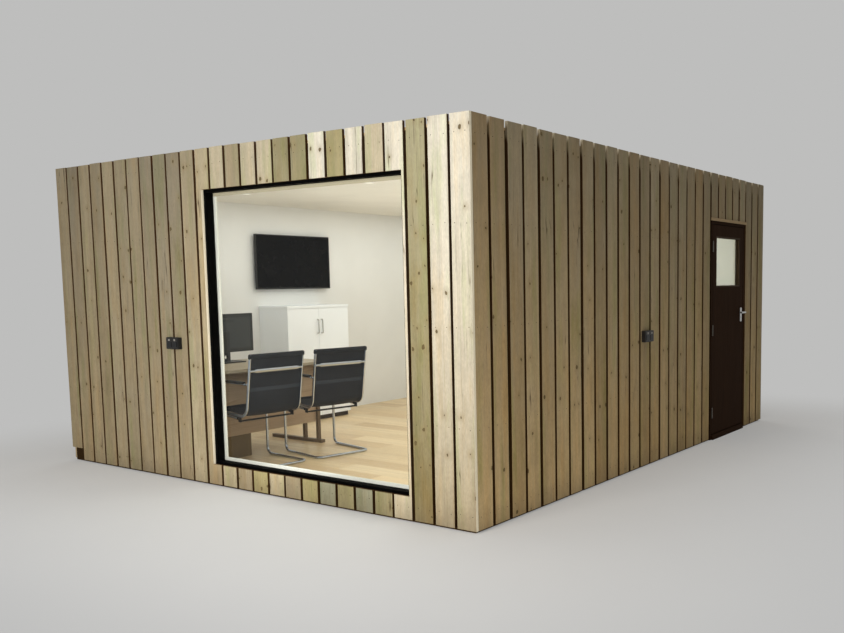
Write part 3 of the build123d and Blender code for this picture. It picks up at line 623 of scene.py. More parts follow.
def bead_paint():
    """White gloss on the beads and the door's lining, with painted shade, darker and yellower, along the
    window's head.
    """
    tree = Tree("white_trim")
    _, y, z = tree.separate(tree.place())
    head_shade = tree.times(tree.above(z, WINDOW[1].z - HEAD_BEAD), tree.below(y, WINDOW[1].y + HEAD_BEAD))
    # Painted shade on the bead along the window's head
    white = tree.mix(head_shade, srgb(232, 229, 219), srgb(186, 174, 148))
    return painted(tree, white, 0.47, 600.0, 0.00005, (0.96, 1.02))


def metal(name, colour, rough, brush=(1.0, 1.0, 1.0), relief=0.00003, spots=0.08):
    """Metal with a fine brushed or cast grain and slightly uneven gloss."""
    tree = Tree(name)
    place = tree.place()
    lines = tree.noise(tree.vector("MULTIPLY", place, brush), 700.0, 3.0, 0.6)
    film = tree.noise(place, 26.0, 4.0, 0.6)
    gloss = tree.span(tree.summed(film, (lines, 0.4)), 0.4, 1.0, max(rough - spots, 0.03), rough + spots)
    return tree.finish(tree.varied(colour, film, 0.9, 1.04), gloss, tree.bump(lines, relief), metallic=1.0)


def moulded(name, colour, rough=0.45, grain=1500.0, relief=0.00005, gloss=0.5):
    """Moulded plastic with a fine pebble and dust that dulls it in places."""
    tree = Tree(name)
    place = tree.place()
    dust = tree.noise(place, 9.0, 4.0, 0.65)
    grey = tuple(min(1.0, c * 1.25 + 0.004) for c in colour[:3]) + (1.0,)
    shade = tree.mix(tree.span(dust, 0.45, 0.75, 0.0, 0.5), colour, grey)
    dull = tree.span(dust, 0.35, 0.7, rough - 0.05, rough + 0.12)
    return tree.finish(shade, dull, tree.bump(tree.noise(place, grain), relief), Specular_IOR_Level=gloss)


def clear_glass(name, tint):
    """Sheet glass: light goes straight through, and more is mirrored at a flat angle."""
    tree = Tree(name)
    tree.nodes.remove(tree.shader)
    through = tree.node("BsdfTransparent", tint)
    mirror = tree.node("BsdfGlossy", (0.95, 0.97, 0.97, 1.0), 0.02)
    tree.put(mirror.inputs["Normal"], tree.bump(tree.noise(tree.place(), 1.6, 1.0), 0.0015))
    flat = tree.node("Fresnel", 1.45).outputs[0]
    inner = tree.node("NewGeometry").outputs["Backfacing"]
    tree.show(tree.times(flat, tree.summed(0.45, (inner, -0.45))), through, mirror)
    return tree.owner


def wall_faces():
    """Walls: dark breather membrane on the outside, white emulsion on the inside."""
    tree = Tree("wall_faces")
    place = tree.place()
    x, y, _ = tree.separate(place)
    side = tree.above(tree.math("ABSOLUTE", x), WALL_RIGHT - WALL_SLACK)
    end = tree.above(tree.math("ABSOLUTE", y), WALL_BACK - WALL_SLACK)
    outside = tree.math("MAXIMUM", side, end)
    white = tree.varied(srgb(230, 229, 226), tree.noise(place, 1.7, 4.0, 0.6), 0.96, 1.02)
    black = tree.mix(tree.noise(place, (60.0, 60.0, 900.0)), srgb(38, 25, 8), srgb(62, 43, 18))
    crease = tree.times(outside, tree.noise(place, (14.0, 14.0, 3.0), 3.0))
    height = tree.summed(tree.noise(place, 380.0, 3.0, 0.6), (crease, 12.0))
    return tree.finish(tree.mix(outside, white, black), tree.span(outside, 0.0, 1.0, 0.62, 0.9),
                       tree.bump(height, 0.00015), Specular_IOR_Level=0.12)


def strand_board():
    """Roof sheets of pressed wood strands, each strand a few centimetres long and turned its own way."""
    tree = Tree("strand_board")
    place = tree.place()
    x, y, _ = tree.separate(place)
    x = tree.summed(x, (tree.noise(place, 6.0, 1.0), 0.06))
    colour = relief = None
    for degrees, salt in STRAND_TURNS:
        sine, cosine = math.sin(math.radians(degrees)), math.cos(math.radians(degrees))
        along = tree.summed(tree.times(x, cosine), (y, sine))
        aside = tree.summed(tree.times(x, -sine), (y, cosine))
        scaled = tree.combine(tree.math("DIVIDE", along, 0.085), tree.math("DIVIDE", aside, 0.019), salt)
        cells = tree.cells(scaled, "3D", 0.9)
        red, green, blue = tree.separate(cells["Color"])
        fibre = tree.noise(tree.combine(tree.times(aside, 260.0), red, 0.0), 1.0)
        strand = tree.ramp(tree.summed(tree.times(red, 0.75), (fibre, 0.3)),
                           (0.05, srgb(166, 128, 82)), (0.35, srgb(198, 163, 113)),
                           (0.7, srgb(210, 179, 131)), (1.0, srgb(222, 196, 152)))
        strand = tree.scaled(strand, tree.span(cells["Distance"], 0.45, 0.62, 1.0, 0.74))
        shown = tree.above(green, 0.52)
        relief = tree.summed(relief, (shown, blue)) if colour else blue
        colour = tree.mix(shown, colour, strand) if colour else strand
    return tree.finish(colour, 0.72, tree.bump(relief, 0.0006))


def sling_mesh(whole):
    """Charcoal chair mesh: a plain weave of thick threads with a dull sheen, doubled in a band between
    two seams at each end of a sling of that whole length."""
    tree = Tree("sling_mesh")
    across, along, _ = tree.separate(tree.attribute("grain", "Vector"))
    warp, weft = (tree.math("SINE", tree.times(way, 2 * math.pi / THREAD_PITCH)) for way in (across, along))
    weave = tree.times(warp, weft)
    fade = tree.noise(tree.place(), 7.0, 4.0, 0.6)
    from_end = tree.math("MINIMUM", along, tree.minus(whole, along))
    band = tree.times(tree.above(from_end, SEAM_PLACES[0]), tree.below(from_end, SEAM_PLACES[1]))
    stitch = tree.math("ADD", *(tree.bell(tree.minus(from_end, seam), 0.0022) for seam in SEAM_PLACES))
    colour = tree.coats(tree.mix(tree.span(weave, -1.0, 1.0), srgb(17, 18, 22), srgb(37, 39, 45)),
                        (tree.span(fade, 0.4, 0.75, 0.0, 0.3), srgb(50, 52, 57)),
                        (tree.times(band, 0.4), srgb(64, 68, 76)),
                        (tree.times(stitch, 0.8), srgb(10, 10, 12)))
    return tree.finish(colour, tree.span(weave, -1.0, 1.0, 0.75, 0.55), tree.bump(weave, 0.0004),
                       Sheen_Weight=0.04, Specular_IOR_Level=0.2)


def glowing_lens():
    """The milky front of a lit downlight, brightest at its middle."""
    tree = Tree("glowing_lens")
    across, along, _ = tree.separate(tree.attribute("grain", "Vector"))
    glow = tree.span(tree.vector("LENGTH", tree.combine(across, along, 0.0)), 0.0, LENS_RADIUS, 1.0, 0.8)
    tree.put(tree.shader.inputs["Emission Color"], tree.scaled((1.0, 0.95, 0.85), glow))
    return tree.finish(tree.scaled((0.2, 0.19, 0.17), glow), 0.35,
                       tree.bump(tree.noise(tree.place(), 900.0), 0.0001), Emission_Strength=0.95)


def cupboard_finish():
    """White lacquered board, with brushed steel on the bar pulls and a dark plinth."""
    tree = Tree("cupboard_finish")
    place = tree.place()
    x, _, z = tree.separate(place)
    low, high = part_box("cupboard")
    pull = tree.times(tree.above(x, high.x - PULL_DEPTH), tree.below(z, high.z - PULL_DROP))
    foot = tree.below(z, low.z + CUPBOARD_PLINTH - HAIR)
    white = tree.varied(srgb(246, 249, 252), tree.noise(place, 3.0, 3.0), 0.97, 1.01)
    colour = tree.mix(foot, tree.mix(pull, white, srgb(186, 186, 184)), srgb(52, 42, 34))
    return tree.finish(colour, tree.span(pull, 0.0, 1.0, 0.38, 0.26),
                       tree.bump(tree.noise(place, 700.0), 0.00006), metallic=pull)


def new_object(name, work, material):
    """An object of one material in the scene, made from mesh work."""
    mesh = bpy.data.meshes.new(name)
    work.to_mesh(mesh)
    work.free()
    mesh.materials.append(material)
    made = bpy.data.objects.new(name, mesh)
    bpy.context.scene.collection.objects.link(made)
    return made


def new_piece(name, work, material, slot, body="pod", stands_for=(), smooth_under=None):
    """Makes a named piece from mesh work. It rides on a CAD body, and may stand for CAD nodes."""
    bmesh.ops.recalc_face_normals(work, faces=work.faces)
    piece = new_object(name, work, material)
    if smooth_under is not None:
        mesh = piece.data
        mesh.polygons.foreach_set("use_smooth", [True] * len(mesh.polygons))
        mesh.set_sharp_from_angle(angle=math.radians(smooth_under))
    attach(piece, body)
    if stands_for:
        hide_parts(*stands_for)
    return piece


def wood_layers(work):
    """What each vertex of a board carries: its place in the grain, the board's number and its tint."""
    layers = work.verts.layers
    return layers.float_vector.new("grain"), layers.float.new("seed"), layers.float_color.new("tint")


def join_rings(work, rings):
    """Joins closed rings of vertices one to the next."""
    count = len(rings[0])
    for lower, upper in zip(rings, rings[1:]):
        for step in range(count):
            after = (step + 1) % count
            work.faces.new((lower[step], lower[after], upper[after], upper[step]))


def close_rings(work, rings):
    """Joins rings of vertices one to the next, closes both ends, and returns the vertices."""
    join_rings(work, rings)
    work.faces.new(list(reversed(rings[0])))
    work.faces.new(rings[-1])
    return [vert for ring in rings for vert in ring]


def turns(sides):
    """The angles of a number of even steps once round."""
    return [2 * math.pi * step / sides for step in range(sides)]


def block(work, low, high, bevel=0.0, segments=2):
    """A box between two corners, its edges rounded. Returns its vertices."""
    low, high = Vector(low), Vector(high)
    before = set(work.verts)
    place = Matrix.Translation((low + high) / 2) @ Matrix.Diagonal((*(high - low), 1.0))
    made = bmesh.ops.create_cube(work, size=1.0, matrix=place)["verts"]
    if bevel:
        edges = list({edge for vert in made for edge in vert.link_edges})
        bmesh.ops.bevel(work, geom=edges, offset=bevel, segments=segments, profile=0.5, affect="EDGES")
    return [vert for vert in work.verts if vert not in before]


def disc(work, centre, axis, radius, thickness, sides=16, dome=0.0):
    """A short round piece with its back at centre. Its front edge is rounded, and may stand out as a dome."""
    axis = Vector(axis).normalized()
    side = axis.orthogonal().normalized()
    spokes = [side * math.cos(turn) + axis.cross(side) * math.sin(turn) for turn in turns(sides)]
    steps = ((1.0, 0.0), (1.0, thickness * 0.75), (0.93, thickness), (0.6, thickness + dome * 0.7))
    rings = [[work.verts.new(Vector(centre) + spoke * radius * share + axis * height) for spoke in spokes]
             for share, height in steps]
    join_rings(work, rings)
    work.faces.new(list(reversed(rings[0])))
    top = work.verts.new(Vector(centre) + axis * (thickness + dome))
    for step in range(sides):
        work.faces.new((rings[-1][step], rings[-1][(step + 1) % sides], top))
    return [vert for ring in rings for vert in ring] + [top]


def rounded_path(corners, bend, steps=8):
    """Points along straight runs, with each inner corner turned by an arc of one radius."""
    corners = [Vector(corner) for corner in corners]
    points = [corners[0]]
    for before, corner, after in zip(corners, corners[1:], corners[2:]):
        back = (before - corner).normalized()
        ahead = (after - corner).normalized()
        half = back.angle(ahead) / 2
        reach = bend / math.tan(half)
        centre = corner + (back + ahead).normalized() * (bend / math.sin(half))
        start = corner + back * reach - centre
        end = corner + ahead * reach - centre
        whole = start.angle(end)
        for step in range(steps + 1):
            part = step / steps
            low, high = (math.sin(share * whole) / math.sin(whole) for share in (1 - part, part))
            points.append(centre + start * low + end * high)
    return points + [corners[-1]]


def sweep(work, path, section, side=None):
    """Carries a closed section along a path. A flat path keeps one side direction all the way."""
    rings = []
    for index, point in enumerate(path):
        ahead = (path[min(index + 1, len(path) - 1)] - path[max(index - 1, 0)]).normalized()
        if side is None:
            side = ahead.orthogonal().normalized()
        side = (side - ahead * side.dot(ahead)).normalized()
        up = ahead.cross(side)
        rings.append([work.verts.new(point + side * a + up * b) for a, b in section])
    return close_rings(work, rings)


def round_section(radius, sides=14):
    return [(radius * math.cos(turn), radius * math.sin(turn)) for turn in turns(sides)]


def soft_section(width, height, corner, steps=3):
    """A rectangle with rounded corners, for a bar or a pad."""
    points = []
    for quarter, (x, y) in enumerate(((1, 1), (-1, 1), (-1, -1), (1, -1))):
        for step in range(steps + 1):
            turn = math.pi / 2 * (quarter + step / steps)
            points.append((x * (width / 2 - corner) + corner * math.cos(turn),
                           y * (height / 2 - corner) + corner * math.sin(turn)))
    return points


class Wall:
    """One side of the pod. A place on it is a distance along, a height, and a depth out from the wall."""

    def __init__(self, name, origin, along, outward):
        self.name = name
        self.origin = Vector(origin)
        self.along = Vector(along)
        self.outward = Vector(outward)

    def point(self, along, height, depth):
        return self.origin + self.along * along + self.outward * depth + UP * height


FRONT = Wall("front", (0, WALL_FRONT, 0), (1, 0, 0), (0, -1, 0))
RIGHT = Wall("right", (WALL_RIGHT, 0, 0), (0, 1, 0), (1, 0, 0))
LEFT = Wall("left", (WALL_LEFT, 0, 0), (0, 1, 0), (-1, 0, 0))
BACK = Wall("back", (0, WALL_BACK, 0), (1, 0, 0), (0, 1, 0))


class Boards:
    """The boards of one wall, joined in one mesh that carries each board's grain, number and tint."""

    def __init__(self, wall):
        seed, self.before = WALL_DRAWS[wall.name]
        self.wall = wall
        self.draw = random.Random(seed)
        self.number = 0
        self.work = bmesh.new()
        self.grain, self.seed, self.tint = wood_layers(self.work)
        self.soil = self.work.verts.layers.float.new("soil")
        self.nails = bmesh.new()

    def each(self, edges, pairs):
        """Each board in turn: its count, both edges, its foot and top tint, and its top. The tints are drawn
        from a few pairs and changed a little in brightness."""
        for count, (start, end) in enumerate(edges, 1):
            self.number = self.before + count
            level = self.draw.uniform(*TINT_CHANGE)
            tints = [[c * level for c in TINTS[name][:3]] for name in self.draw.choice(pairs)]
            yield count, start, end, tints, BOARD_TOP + self.draw.uniform(*TOP_CHANGE)

    def waver(self, height, side):
        """How far a sawn edge strays from a straight line at a height."""
        waves = sum(reach * math.sin(height * pace + self.number * salt + side * shift)
                    for reach, pace, salt, shift in WAVES)
        bow = math.sin(self.number * 4.1) * math.sin(math.pi * height / BOARD_TOP)
        return waves + BOARD_BOW * bow

    def outline(self, left, right, height, shrink, edge_shadings):
        """The distance along, the depth and the painted edge shading of each point round a board at a height.
        """
        a = left + self.waver(height, 0) + shrink
        b = right + self.waver(height, 1) - shrink
        face = BOARD_THICKNESS - shrink
        edge = face - BOARD_CHAMFER
        cup = BOARD_CUP * math.sin(self.number * 3.3)
        return ((a, 0.0, edge_shadings[0]), (a, edge, edge_shadings[0] * CHAMFER_SHADE), (a + BOARD_CHAMFER, face, 0.0),
                ((a + b) / 2, face + cup, 0.0),
                (b - BOARD_CHAMFER, face, 0.0), (b, edge, edge_shadings[1] * CHAMFER_SHADE), (b, 0.0, edge_shadings[1]))

    def board(self, left, right, low, high, tints, knots=KNOT_SHARE, centre=None, clean=(), fresh=1.0,
              top_soil=1.0):
        """One board or part of one, in sections up its height. Its edges carry painted shade where they face
        a gap, and on the sides that are named they carry none and are pale instead, partly paler fresh wood
        and partly painted highlight. The top may carry a different painted shading from the rest."""
        middle = (left + right) / 2 if centre is None else centre
        steps = max(1, round((high - low) / BOARD_STEP))
        between = [low + (high - low) * step / steps for step in range(1, steps)]
        rings = []
        for height in (low, low + END_CHAMFER, *between, high - END_CHAMFER, high):
            shrink = END_CHAMFER if height in (low, high) else 0.0
            side_shading = top_soil if height >= high - END_CHAMFER else 1.0
            edge_shadings = [-fresh if side in clean else side_shading for side in ("left", "right")]
            share = height / BOARD_TOP
            colour = [lower * (1 - share) + upper * share for lower, upper in zip(*tints)][:3]
            ring = []
            for along, depth, soil in self.outline(left, right, height, shrink, edge_shadings):
                vert = self.work.verts.new(self.wall.point(along, height, depth))
                vert[self.grain] = Vector((along - middle, height, depth))
                vert[self.seed] = float(self.number)
                vert[self.tint] = (*colour, knots)
                vert[self.soil] = soil
                ring.append(vert)
            rings.append(ring)
        close_rings(self.work, rings)

    def nailed(self, left, right, low, high, *looks, **ends):
        """A board with a pair of nails at each row that it crosses."""
        self.board(left, right, low, high, *looks, **ends)
        for row in NAIL_ROWS:
            if not low + NAIL_CLEAR < row < high - NAIL_CLEAR or right - left < 3 * NAIL_INSET:
                continue
            for along in (left + NAIL_INSET, right - NAIL_INSET):
                height = row + self.draw.uniform(-NAIL_STRAY[1], NAIL_STRAY[1])
                along += self.draw.uniform(-NAIL_STRAY[0], NAIL_STRAY[0])
                place = self.wall.point(along, height, BOARD_THICKNESS - NAIL_SUNK)
                disc(self.nails, place, self.wall.outward, *NAIL_HEAD, sides=8)

    def finish(self, board_material, nail_material, *stands_for):
        new_piece(f"{self.wall.name}_boards", self.work, board_material, "softwood_board",
                  stands_for=stands_for)
        new_piece(f"{self.wall.name}_nails", self.nails, nail_material, "steel")


def board_edges(first, last, gaps, width, seed):
    """Both edges of each board between two ends. The gaps differ a little, as boards laid by eye do."""
    draw = random.Random(seed)
    halves = [width / 2 * draw.uniform(*GAP_CHANGE) for _ in gaps]
    starts = [first] + [gap + half for gap, half in zip(gaps, halves)]
    ends = [gap - half for gap, half in zip(gaps, halves)] + [last]
    return list(zip(starts, ends))


def front_edges():
    """Left and right edge of each board on the front, from the left."""
    gaps = [CLAD_RIGHT - FRONT_FIRST_GAP - FRONT_PITCH * (FRONT_COUNT - 1 - k) for k in range(1, FRONT_COUNT)]
    return board_edges(CLAD_LEFT, CLAD_RIGHT, gaps, FRONT_GAP, FRONT_GAP_SEED)


def side_edges():
    """Near and far edge of each board on a side wall, from the front."""
    gaps = [CLAD_FRONT + SIDE_FIRST_GAP + SIDE_PITCH * k for k in range(SIDE_COUNT - 1)]
    return board_edges(WALL_FRONT, WALL_BACK, gaps, SIDE_GAP, SIDE_GAP_SEED)


def end_sides(count, last):
    """The sides of a board that face no gap, because the wall ends there."""
    return {1: ("left",), last: ("right",)}.get(count, ())


def front_boards(wood, nail):
    """The front: whole boards, and shorter ones over and under the window, two of them notched round it."""
    boards = Boards(FRONT)
    (left, _, sill), (right, _, head_shade) = WINDOW
    for count, start, end, tints, top in boards.each(front_edges(), COMMON_TINTS):
        if count in FRONT_NOTED:
            tints = [TINTS[name] for name in FRONT_NOTED[count]]
        looks = (tints, KNOTTY.get(count, KNOT_SHARE))
        foot = CUT_SHORT_FOOT if count == 1 else BOARD_FOOT
        if end < left or start > right:
            # Sides at the wall's ends are pale: partly paler fresh wood, partly painted highlight
            boards.nailed(start, end, foot, top, *looks, clean=end_sides(count, FRONT_COUNT))
            continue
        boards.nailed(start, end, foot, sill, *looks)
        boards.nailed(start, end, head_shade, top, *looks)
        middle = (start + end) / 2
        # Cut sides beside the window are pale: partly paler fresh wood, partly painted highlight
        if start < left:
            boards.board(start, left, sill, head_shade, *looks, middle, ("right",))
        if end > right:
            boards.board(right, end, sill, head_shade, *looks, middle, ("left",))
    boards.finish(wood, nail, "front_cladding_beside_window", "front_cladding_above_and_below")


def right_boards(wood, nail):
    """The side with the door: short boards over it, whole ones elsewhere."""
    boards = Boards(RIGHT)
    near, far = DOOR[0].y + NARROWEST_STRIP, DOOR[1].y - NARROWEST_STRIP
    for _, start, end, tints, top in boards.each(side_edges(), SIDE_TINTS):
        foot = DOOR_HEAD if start < far and end > near else BOARD_FOOT
        # The tops of the gap sides carry painted light in place of painted shade
        boards.nailed(start, end, foot, top, tints, top_soil=PAINTED_LIGHT_TOP)
    boards.finish(wood, nail, "right_cladding_beside_door", "right_cladding_over_door")


def plain_boards(wall, edges, pairs, stands_for, wood, nail):
    """A wall with no opening: whole boards from end to end."""
    boards = Boards(wall)
    for count, start, end, tints, top in boards.each(edges, pairs):
        # End sides are a little pale: partly paler fresh wood, partly painted highlight
        clean = end_sides(count, len(edges))
        boards.nailed(start, end, BOARD_FOOT, top, tints, clean=clean, fresh=PALE_END_EDGE)
    boards.finish(wood, nail, stands_for)


def tiles(low, high, size, shift):
    """Rows of tiles that fill a rectangle: the near corner and the far corner of each. Each row starts
    before the rectangle by a share of a tile."""
    row = 0
    y = low.y
    while y < high.y - ROW_SLACK:
        y_end = min(y + size[1], high.y)
        x = low.x - shift(row) * size[0]
        while x < high.x - ROW_SLACK:
            start, end = max(x, low.x), min(x + size[0], high.x)
            if end - start > SHORTEST_TILE:
                yield start, y, end, y_end
            x += size[0]
        y = y_end
        row += 1


def floor_planks(material):
    """Floor planks in staggered rows, each with its own number and tint."""
    low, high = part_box("floor_boards")
    draw = random.Random(PLANK_SEED)
    work = bmesh.new()
    grain, seed, tint = wood_layers(work)
    laid = tiles(low, high, PLANK_SIZE, lambda row: draw.uniform(*PLANK_STAGGER))
    for number, (x, y, x_end, y_end) in enumerate(laid, 1):
        far = (x_end - PLANK_JOINT, y_end - PLANK_JOINT, high.z)
        made = block(work, (x, y, low.z), far, PLANK_BEVEL, 1)
        colour = draw.choice(PLANK_TINTS)
        level = draw.uniform(*PLANK_CHANGE)
        for vert in made:
            vert[grain] = Vector((vert.co.y - (y + y_end) / 2, vert.co.x, high.z - vert.co.z))
            vert[seed] = float(number)
            vert[tint] = (*(part * level for part in colour[:3]), 1.0)
    new_piece("floor_planks", work, material, "floor_plank", stands_for=("floor_boards",))


def roof_sheets(material, screw):
    """Sheets of strand board on the joists, laid with staggered joints and screwed down."""
    low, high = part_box("roof_deck")
    work, screws = bmesh.new(), bmesh.new()
    columns, rows = SHEET_SCREWS
    for x, y, x_end, y_end in tiles(low, high, SHEET_SIZE, lambda row: 0.5 * (row % 2)):
        far = (x_end - SHEET_JOINT, y_end - SHEET_JOINT, high.z)
        block(work, (x, y, low.z), far, SHEET_BEVEL, 1)
        wide, long = far[0] - x - 2 * SCREW_INSET, far[1] - y - 2 * SCREW_INSET
        for column in range(columns):
            for row in range(rows):
                place = (x + SCREW_INSET + wide * column / (columns - 1),
                         y + SCREW_INSET + long * row / (rows - 1), high.z - SCREW_SUNK)
                disc(screws, place, UP, *ROOF_SCREW, sides=8)
    new_piece("roof_sheets", work, material, "roof_board", stands_for=("roof_deck",))
    new_piece("roof_screws", screws, screw, "steel")


def raised_panel(name, low, high, facing, sizes, material):
    """A thin panel with rounded corners on a flat face across X. Its sizes are the edge that it leaves free
    all round, what it leaves at the foot, its corners, and how far it stands out."""
    edge, chin, corner, proud = sizes
    section = soft_section(high.y - low.y - 2 * edge, high.z - low.z - edge - chin, corner, 4)
    face = high.x if facing > 0 else low.x
    centre = Vector((face, (low.y + high.y) / 2, (low.z + high.z + chin - edge) / 2))
    work = bmesh.new()
    rings = []
    slope = PANEL_SLOPE * proud
    for depth, inset in ((-HAIR, 0.0), (slope, 0.0), (proud, slope)):
        inner = [[way * ((abs(way) - inset) / abs(way)) for way in point] for point in section]
        rings.append([work.verts.new(centre + Vector((depth * facing, *point))) for point in inner])
    close_rings(work, rings)
    new_piece(name, work, material, "black_plastic")


def monitor_pieces(glass, shell, dark):
    """The monitor's screen, which faces away from the chairs, and its back cover with a row of vents."""
    low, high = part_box("monitor")
    low.z = high.z - MONITOR_HEIGHT
    panel_back = low.x + MONITOR_FOOT_BEHIND + MONITOR_THICKNESS
    low.x, high.x = panel_back - MONITOR_THICKNESS, panel_back
    raised_panel("monitor_screen", low, high, -1, MONITOR_PANEL, glass)
    raised_panel("monitor_back_cover", low, high, 1, MONITOR_COVER, shell)
    work = bmesh.new()
    half_y, half_z = VENT_HALF
    for step in range(VENTS):
        y = (low.y + high.y) / 2 + (step - (VENTS - 1) / 2) * VENT_PITCH
        z = high.z - VENT_DROP
        block(work, (high.x + VENT_DEPTHS[0], y - half_y, z - half_z),
              (high.x + VENT_DEPTHS[1], y + half_y, z + half_z), VENT_BEVEL, 1)
    new_piece("monitor_vents", work, dark, "black_plastic")


def chair_matrix(place, turn):
    """From a chair's own axes, forward along X, to its place in the room."""
    return (Matrix.Translation((place[0], place[1], CHAIR_FLOOR))
            @ Matrix.Rotation(math.radians(180.0 - turn), 4, "Z"))


def side_line():
    """The seat and back in profile, as points with the bend between them."""
    corners = [(forward, 0, height) for forward, height in (SEAT_FRONT, SEAT_BACK, BACK_TOP)]
    return rounded_path(corners, SEAT_BEND, steps=14)


def back_line_x(height):
    """How far forward the back lies at a height."""
    share = (height - SEAT_BACK[1]) / (BACK_TOP[1] - SEAT_BACK[1])
    return SEAT_BACK[0] + (BACK_TOP[0] - SEAT_BACK[0]) * share


def seat_line_z(forward):
    """Height of the seat at a distance forward."""
    share = (forward - SEAT_BACK[0]) / (SEAT_FRONT[0] - SEAT_BACK[0])
    return SEAT_BACK[1] + (SEAT_FRONT[1] - SEAT_BACK[1]) * share


def cross_bar(work, middle, up):
    """A flat oval bar from rail to rail, with narrower ends that meet the rails."""
    up = Vector(up).normalized()
    out = ACROSS.cross(up)
    places = [(along - CHAIR_HALF, share) for along, share in BAR_SWELL]
    places += [(-y, share) for y, share in reversed(places)]
    rings = []
    for y, share in places:
        half = (BAR_NARROW + (BAR_WIDE - BAR_NARROW) * share) / 2
        ring = []
        for turn in turns(BAR_SIDES):
            flat, thick = math.cos(turn), math.sin(turn)
            spread = up * half * math.copysign(abs(flat) ** BAR_SQUARENESS, flat)
            spread += out * (BAR_DEPTH / 2) * math.copysign(abs(thick) ** BAR_SQUARENESS, thick)
            ring.append(work.verts.new(Vector(middle) + ACROSS * y + spread))
        rings.append(ring)
    return close_rings(work, rings)


def collar(work, centre, axis, radius, length):
    """A round collar with soft ends, centred on a point."""
    axis = Vector(axis).normalized()
    side = axis.orthogonal().normalized()
    other = axis.cross(side)
    rings = []
    for share, swell in COLLAR_SWELL:
        point = Vector(centre) + axis * length * share
        rings.append([work.verts.new(point + (side * a + other * b) * swell)
                      for a, b in round_section(radius)])
    return close_rings(work, rings)


def arm_pad(work, y):
    """A moulded pad on one arm, rounded at both ends."""
    steps = 12
    rings = []
    for share in (step / steps for step in range(steps + 1)):
        swell = math.sin(math.pi * share) ** 0.35 if 0 < share < 1 else 0.35
        width, height = PAD_SIZE[0] * (0.72 + 0.28 * swell), PAD_SIZE[1] * (0.55 + 0.45 * swell)
        along, level = PAD_START + PAD_LENGTH * share, ARM_HEIGHT + ARM_RADIUS + PAD_LIFT
        rings.append([work.verts.new((along, y + across, level + up))
                      for across, up in soft_section(width, height, height * 0.45)])
    return close_rings(work, rings)


def chair_side(work, y):
    """One side of a chair's frame: the rail in the profile of seat and back, and the arm with its collars."""
    profile = [point + ACROSS * y for point in side_line()]
    made = sweep(work, profile, soft_section(*RAIL_SECTION), side=ACROSS)
    arm = rounded_path([(ARM_BACK, y, ARM_HEIGHT), (ARM_FRONT, y, ARM_HEIGHT),
                        (ARM_FRONT, y, SEAT_FRONT[1] - ARM_SINK)], ARM_BEND)
    made += sweep(work, arm, round_section(ARM_RADIUS, 12))
    for forward, height, *sizes in COLLARS:
        made += collar(work, (forward, y, height), *sizes)
    return made


def seat_bar(work, forward, lean):
    """One dark bar under the seat, with a bracket at each end that hangs it from the rail."""
    height = seat_line_z(forward)
    made = cross_bar(work, (forward, 0, height - BAR_DROP), lean)
    half_x, half_y = BRACKET_HALF
    for y in (-CHAIR_HALF, CHAIR_HALF):
        made += block(work, (forward - half_x, y - half_y, height - BAR_DROP - BRACKET_BELOW),
                      (forward + half_x, y + half_y, height), BRACKET_BEVEL)
    return made


def chair_frames(chrome, dark, pad):
    """Chromed rails, sled tubes, arms and back bars of both chairs, the dark bars under their seats,
    and their arm pads."""
    work, bars, pads = bmesh.new(), bmesh.new(), bmesh.new()
    back_lean = (BACK_TOP[0] - SEAT_BACK[0], 0, BACK_TOP[1] - SEAT_BACK[1])
    seat_lean = (SEAT_FRONT[0] - SEAT_BACK[0], 0, SEAT_FRONT[1] - SEAT_BACK[1])
    half_sled = [SLED_TOP_BACK, SLED_TOP_FRONT, (SLED_TOP_FRONT[0], TUBE_RADIUS), (0.0, TUBE_RADIUS)]
    sled = [(x, -CHAIR_HALF, z) for x, z in half_sled] + [(x, CHAIR_HALF, z) for x, z in reversed(half_sled)]
    for place, turn in CHAIR_PLACES:
        made = chair_side(work, -CHAIR_HALF) + chair_side(work, CHAIR_HALF)
        made += sweep(work, rounded_path(sled, SLED_BEND), round_section(TUBE_RADIUS))
        made += cross_bar(work, (back_line_x(BACK_BAR_HEIGHT) - BAR_BEHIND, 0, BACK_BAR_HEIGHT), back_lean)
        under = [vert for forward in SEAT_BARS for vert in seat_bar(bars, forward, seat_lean)]
        soft = arm_pad(pads, -CHAIR_HALF) + arm_pad(pads, CHAIR_HALF)
        for part, verts in ((work, made), (bars, under), (pads, soft)):
            bmesh.ops.transform(part, matrix=chair_matrix(place, turn), verts=verts)
    new_piece("chair_tubes", work, chrome, "chair_chrome", stands_for=("chair_frames",), smooth_under=40)
    new_piece("chair_seat_bars", bars, dark, "leg_steel", smooth_under=40)
    new_piece("chair_arm_pads", pads, pad, "black_plastic", smooth_under=50)


def sling_hem(work, grain, end, ahead):
    """The rolled end of a sling, which hooks over both rails. It runs back from the end along a direction."""
    ahead = Vector(ahead).normalized()
    out = ACROSS.cross(ahead)
    centre = Vector(end) + ahead * (HEM_DEPTH / 2 - HEM_BEHIND)
    rings = []
    shares = [(-share, swell) for share, swell in HEM_SWELL] + list(reversed(HEM_SWELL[:-1]))
    for share, swell in shares:
        across = HEM_HALF * share
        thickness = HEM_THICKNESS * swell
        ring = []
        for deep, thick in soft_section(HEM_DEPTH * swell, thickness, thickness * HEM_CORNER, 4):
            vert = work.verts.new(centre + ACROSS * across + ahead * deep + out * thick)
            vert[grain] = Vector((across, deep, thick))
            ring.append(vert)
        rings.append(ring)
    close_rings(work, rings)


def line_lengths(line):
    """How far along a line each of its points lies."""
    lengths = [0.0]
    for before, after in zip(line, line[1:]):
        lengths.append(lengths[-1] + (after - before).length)
    return lengths


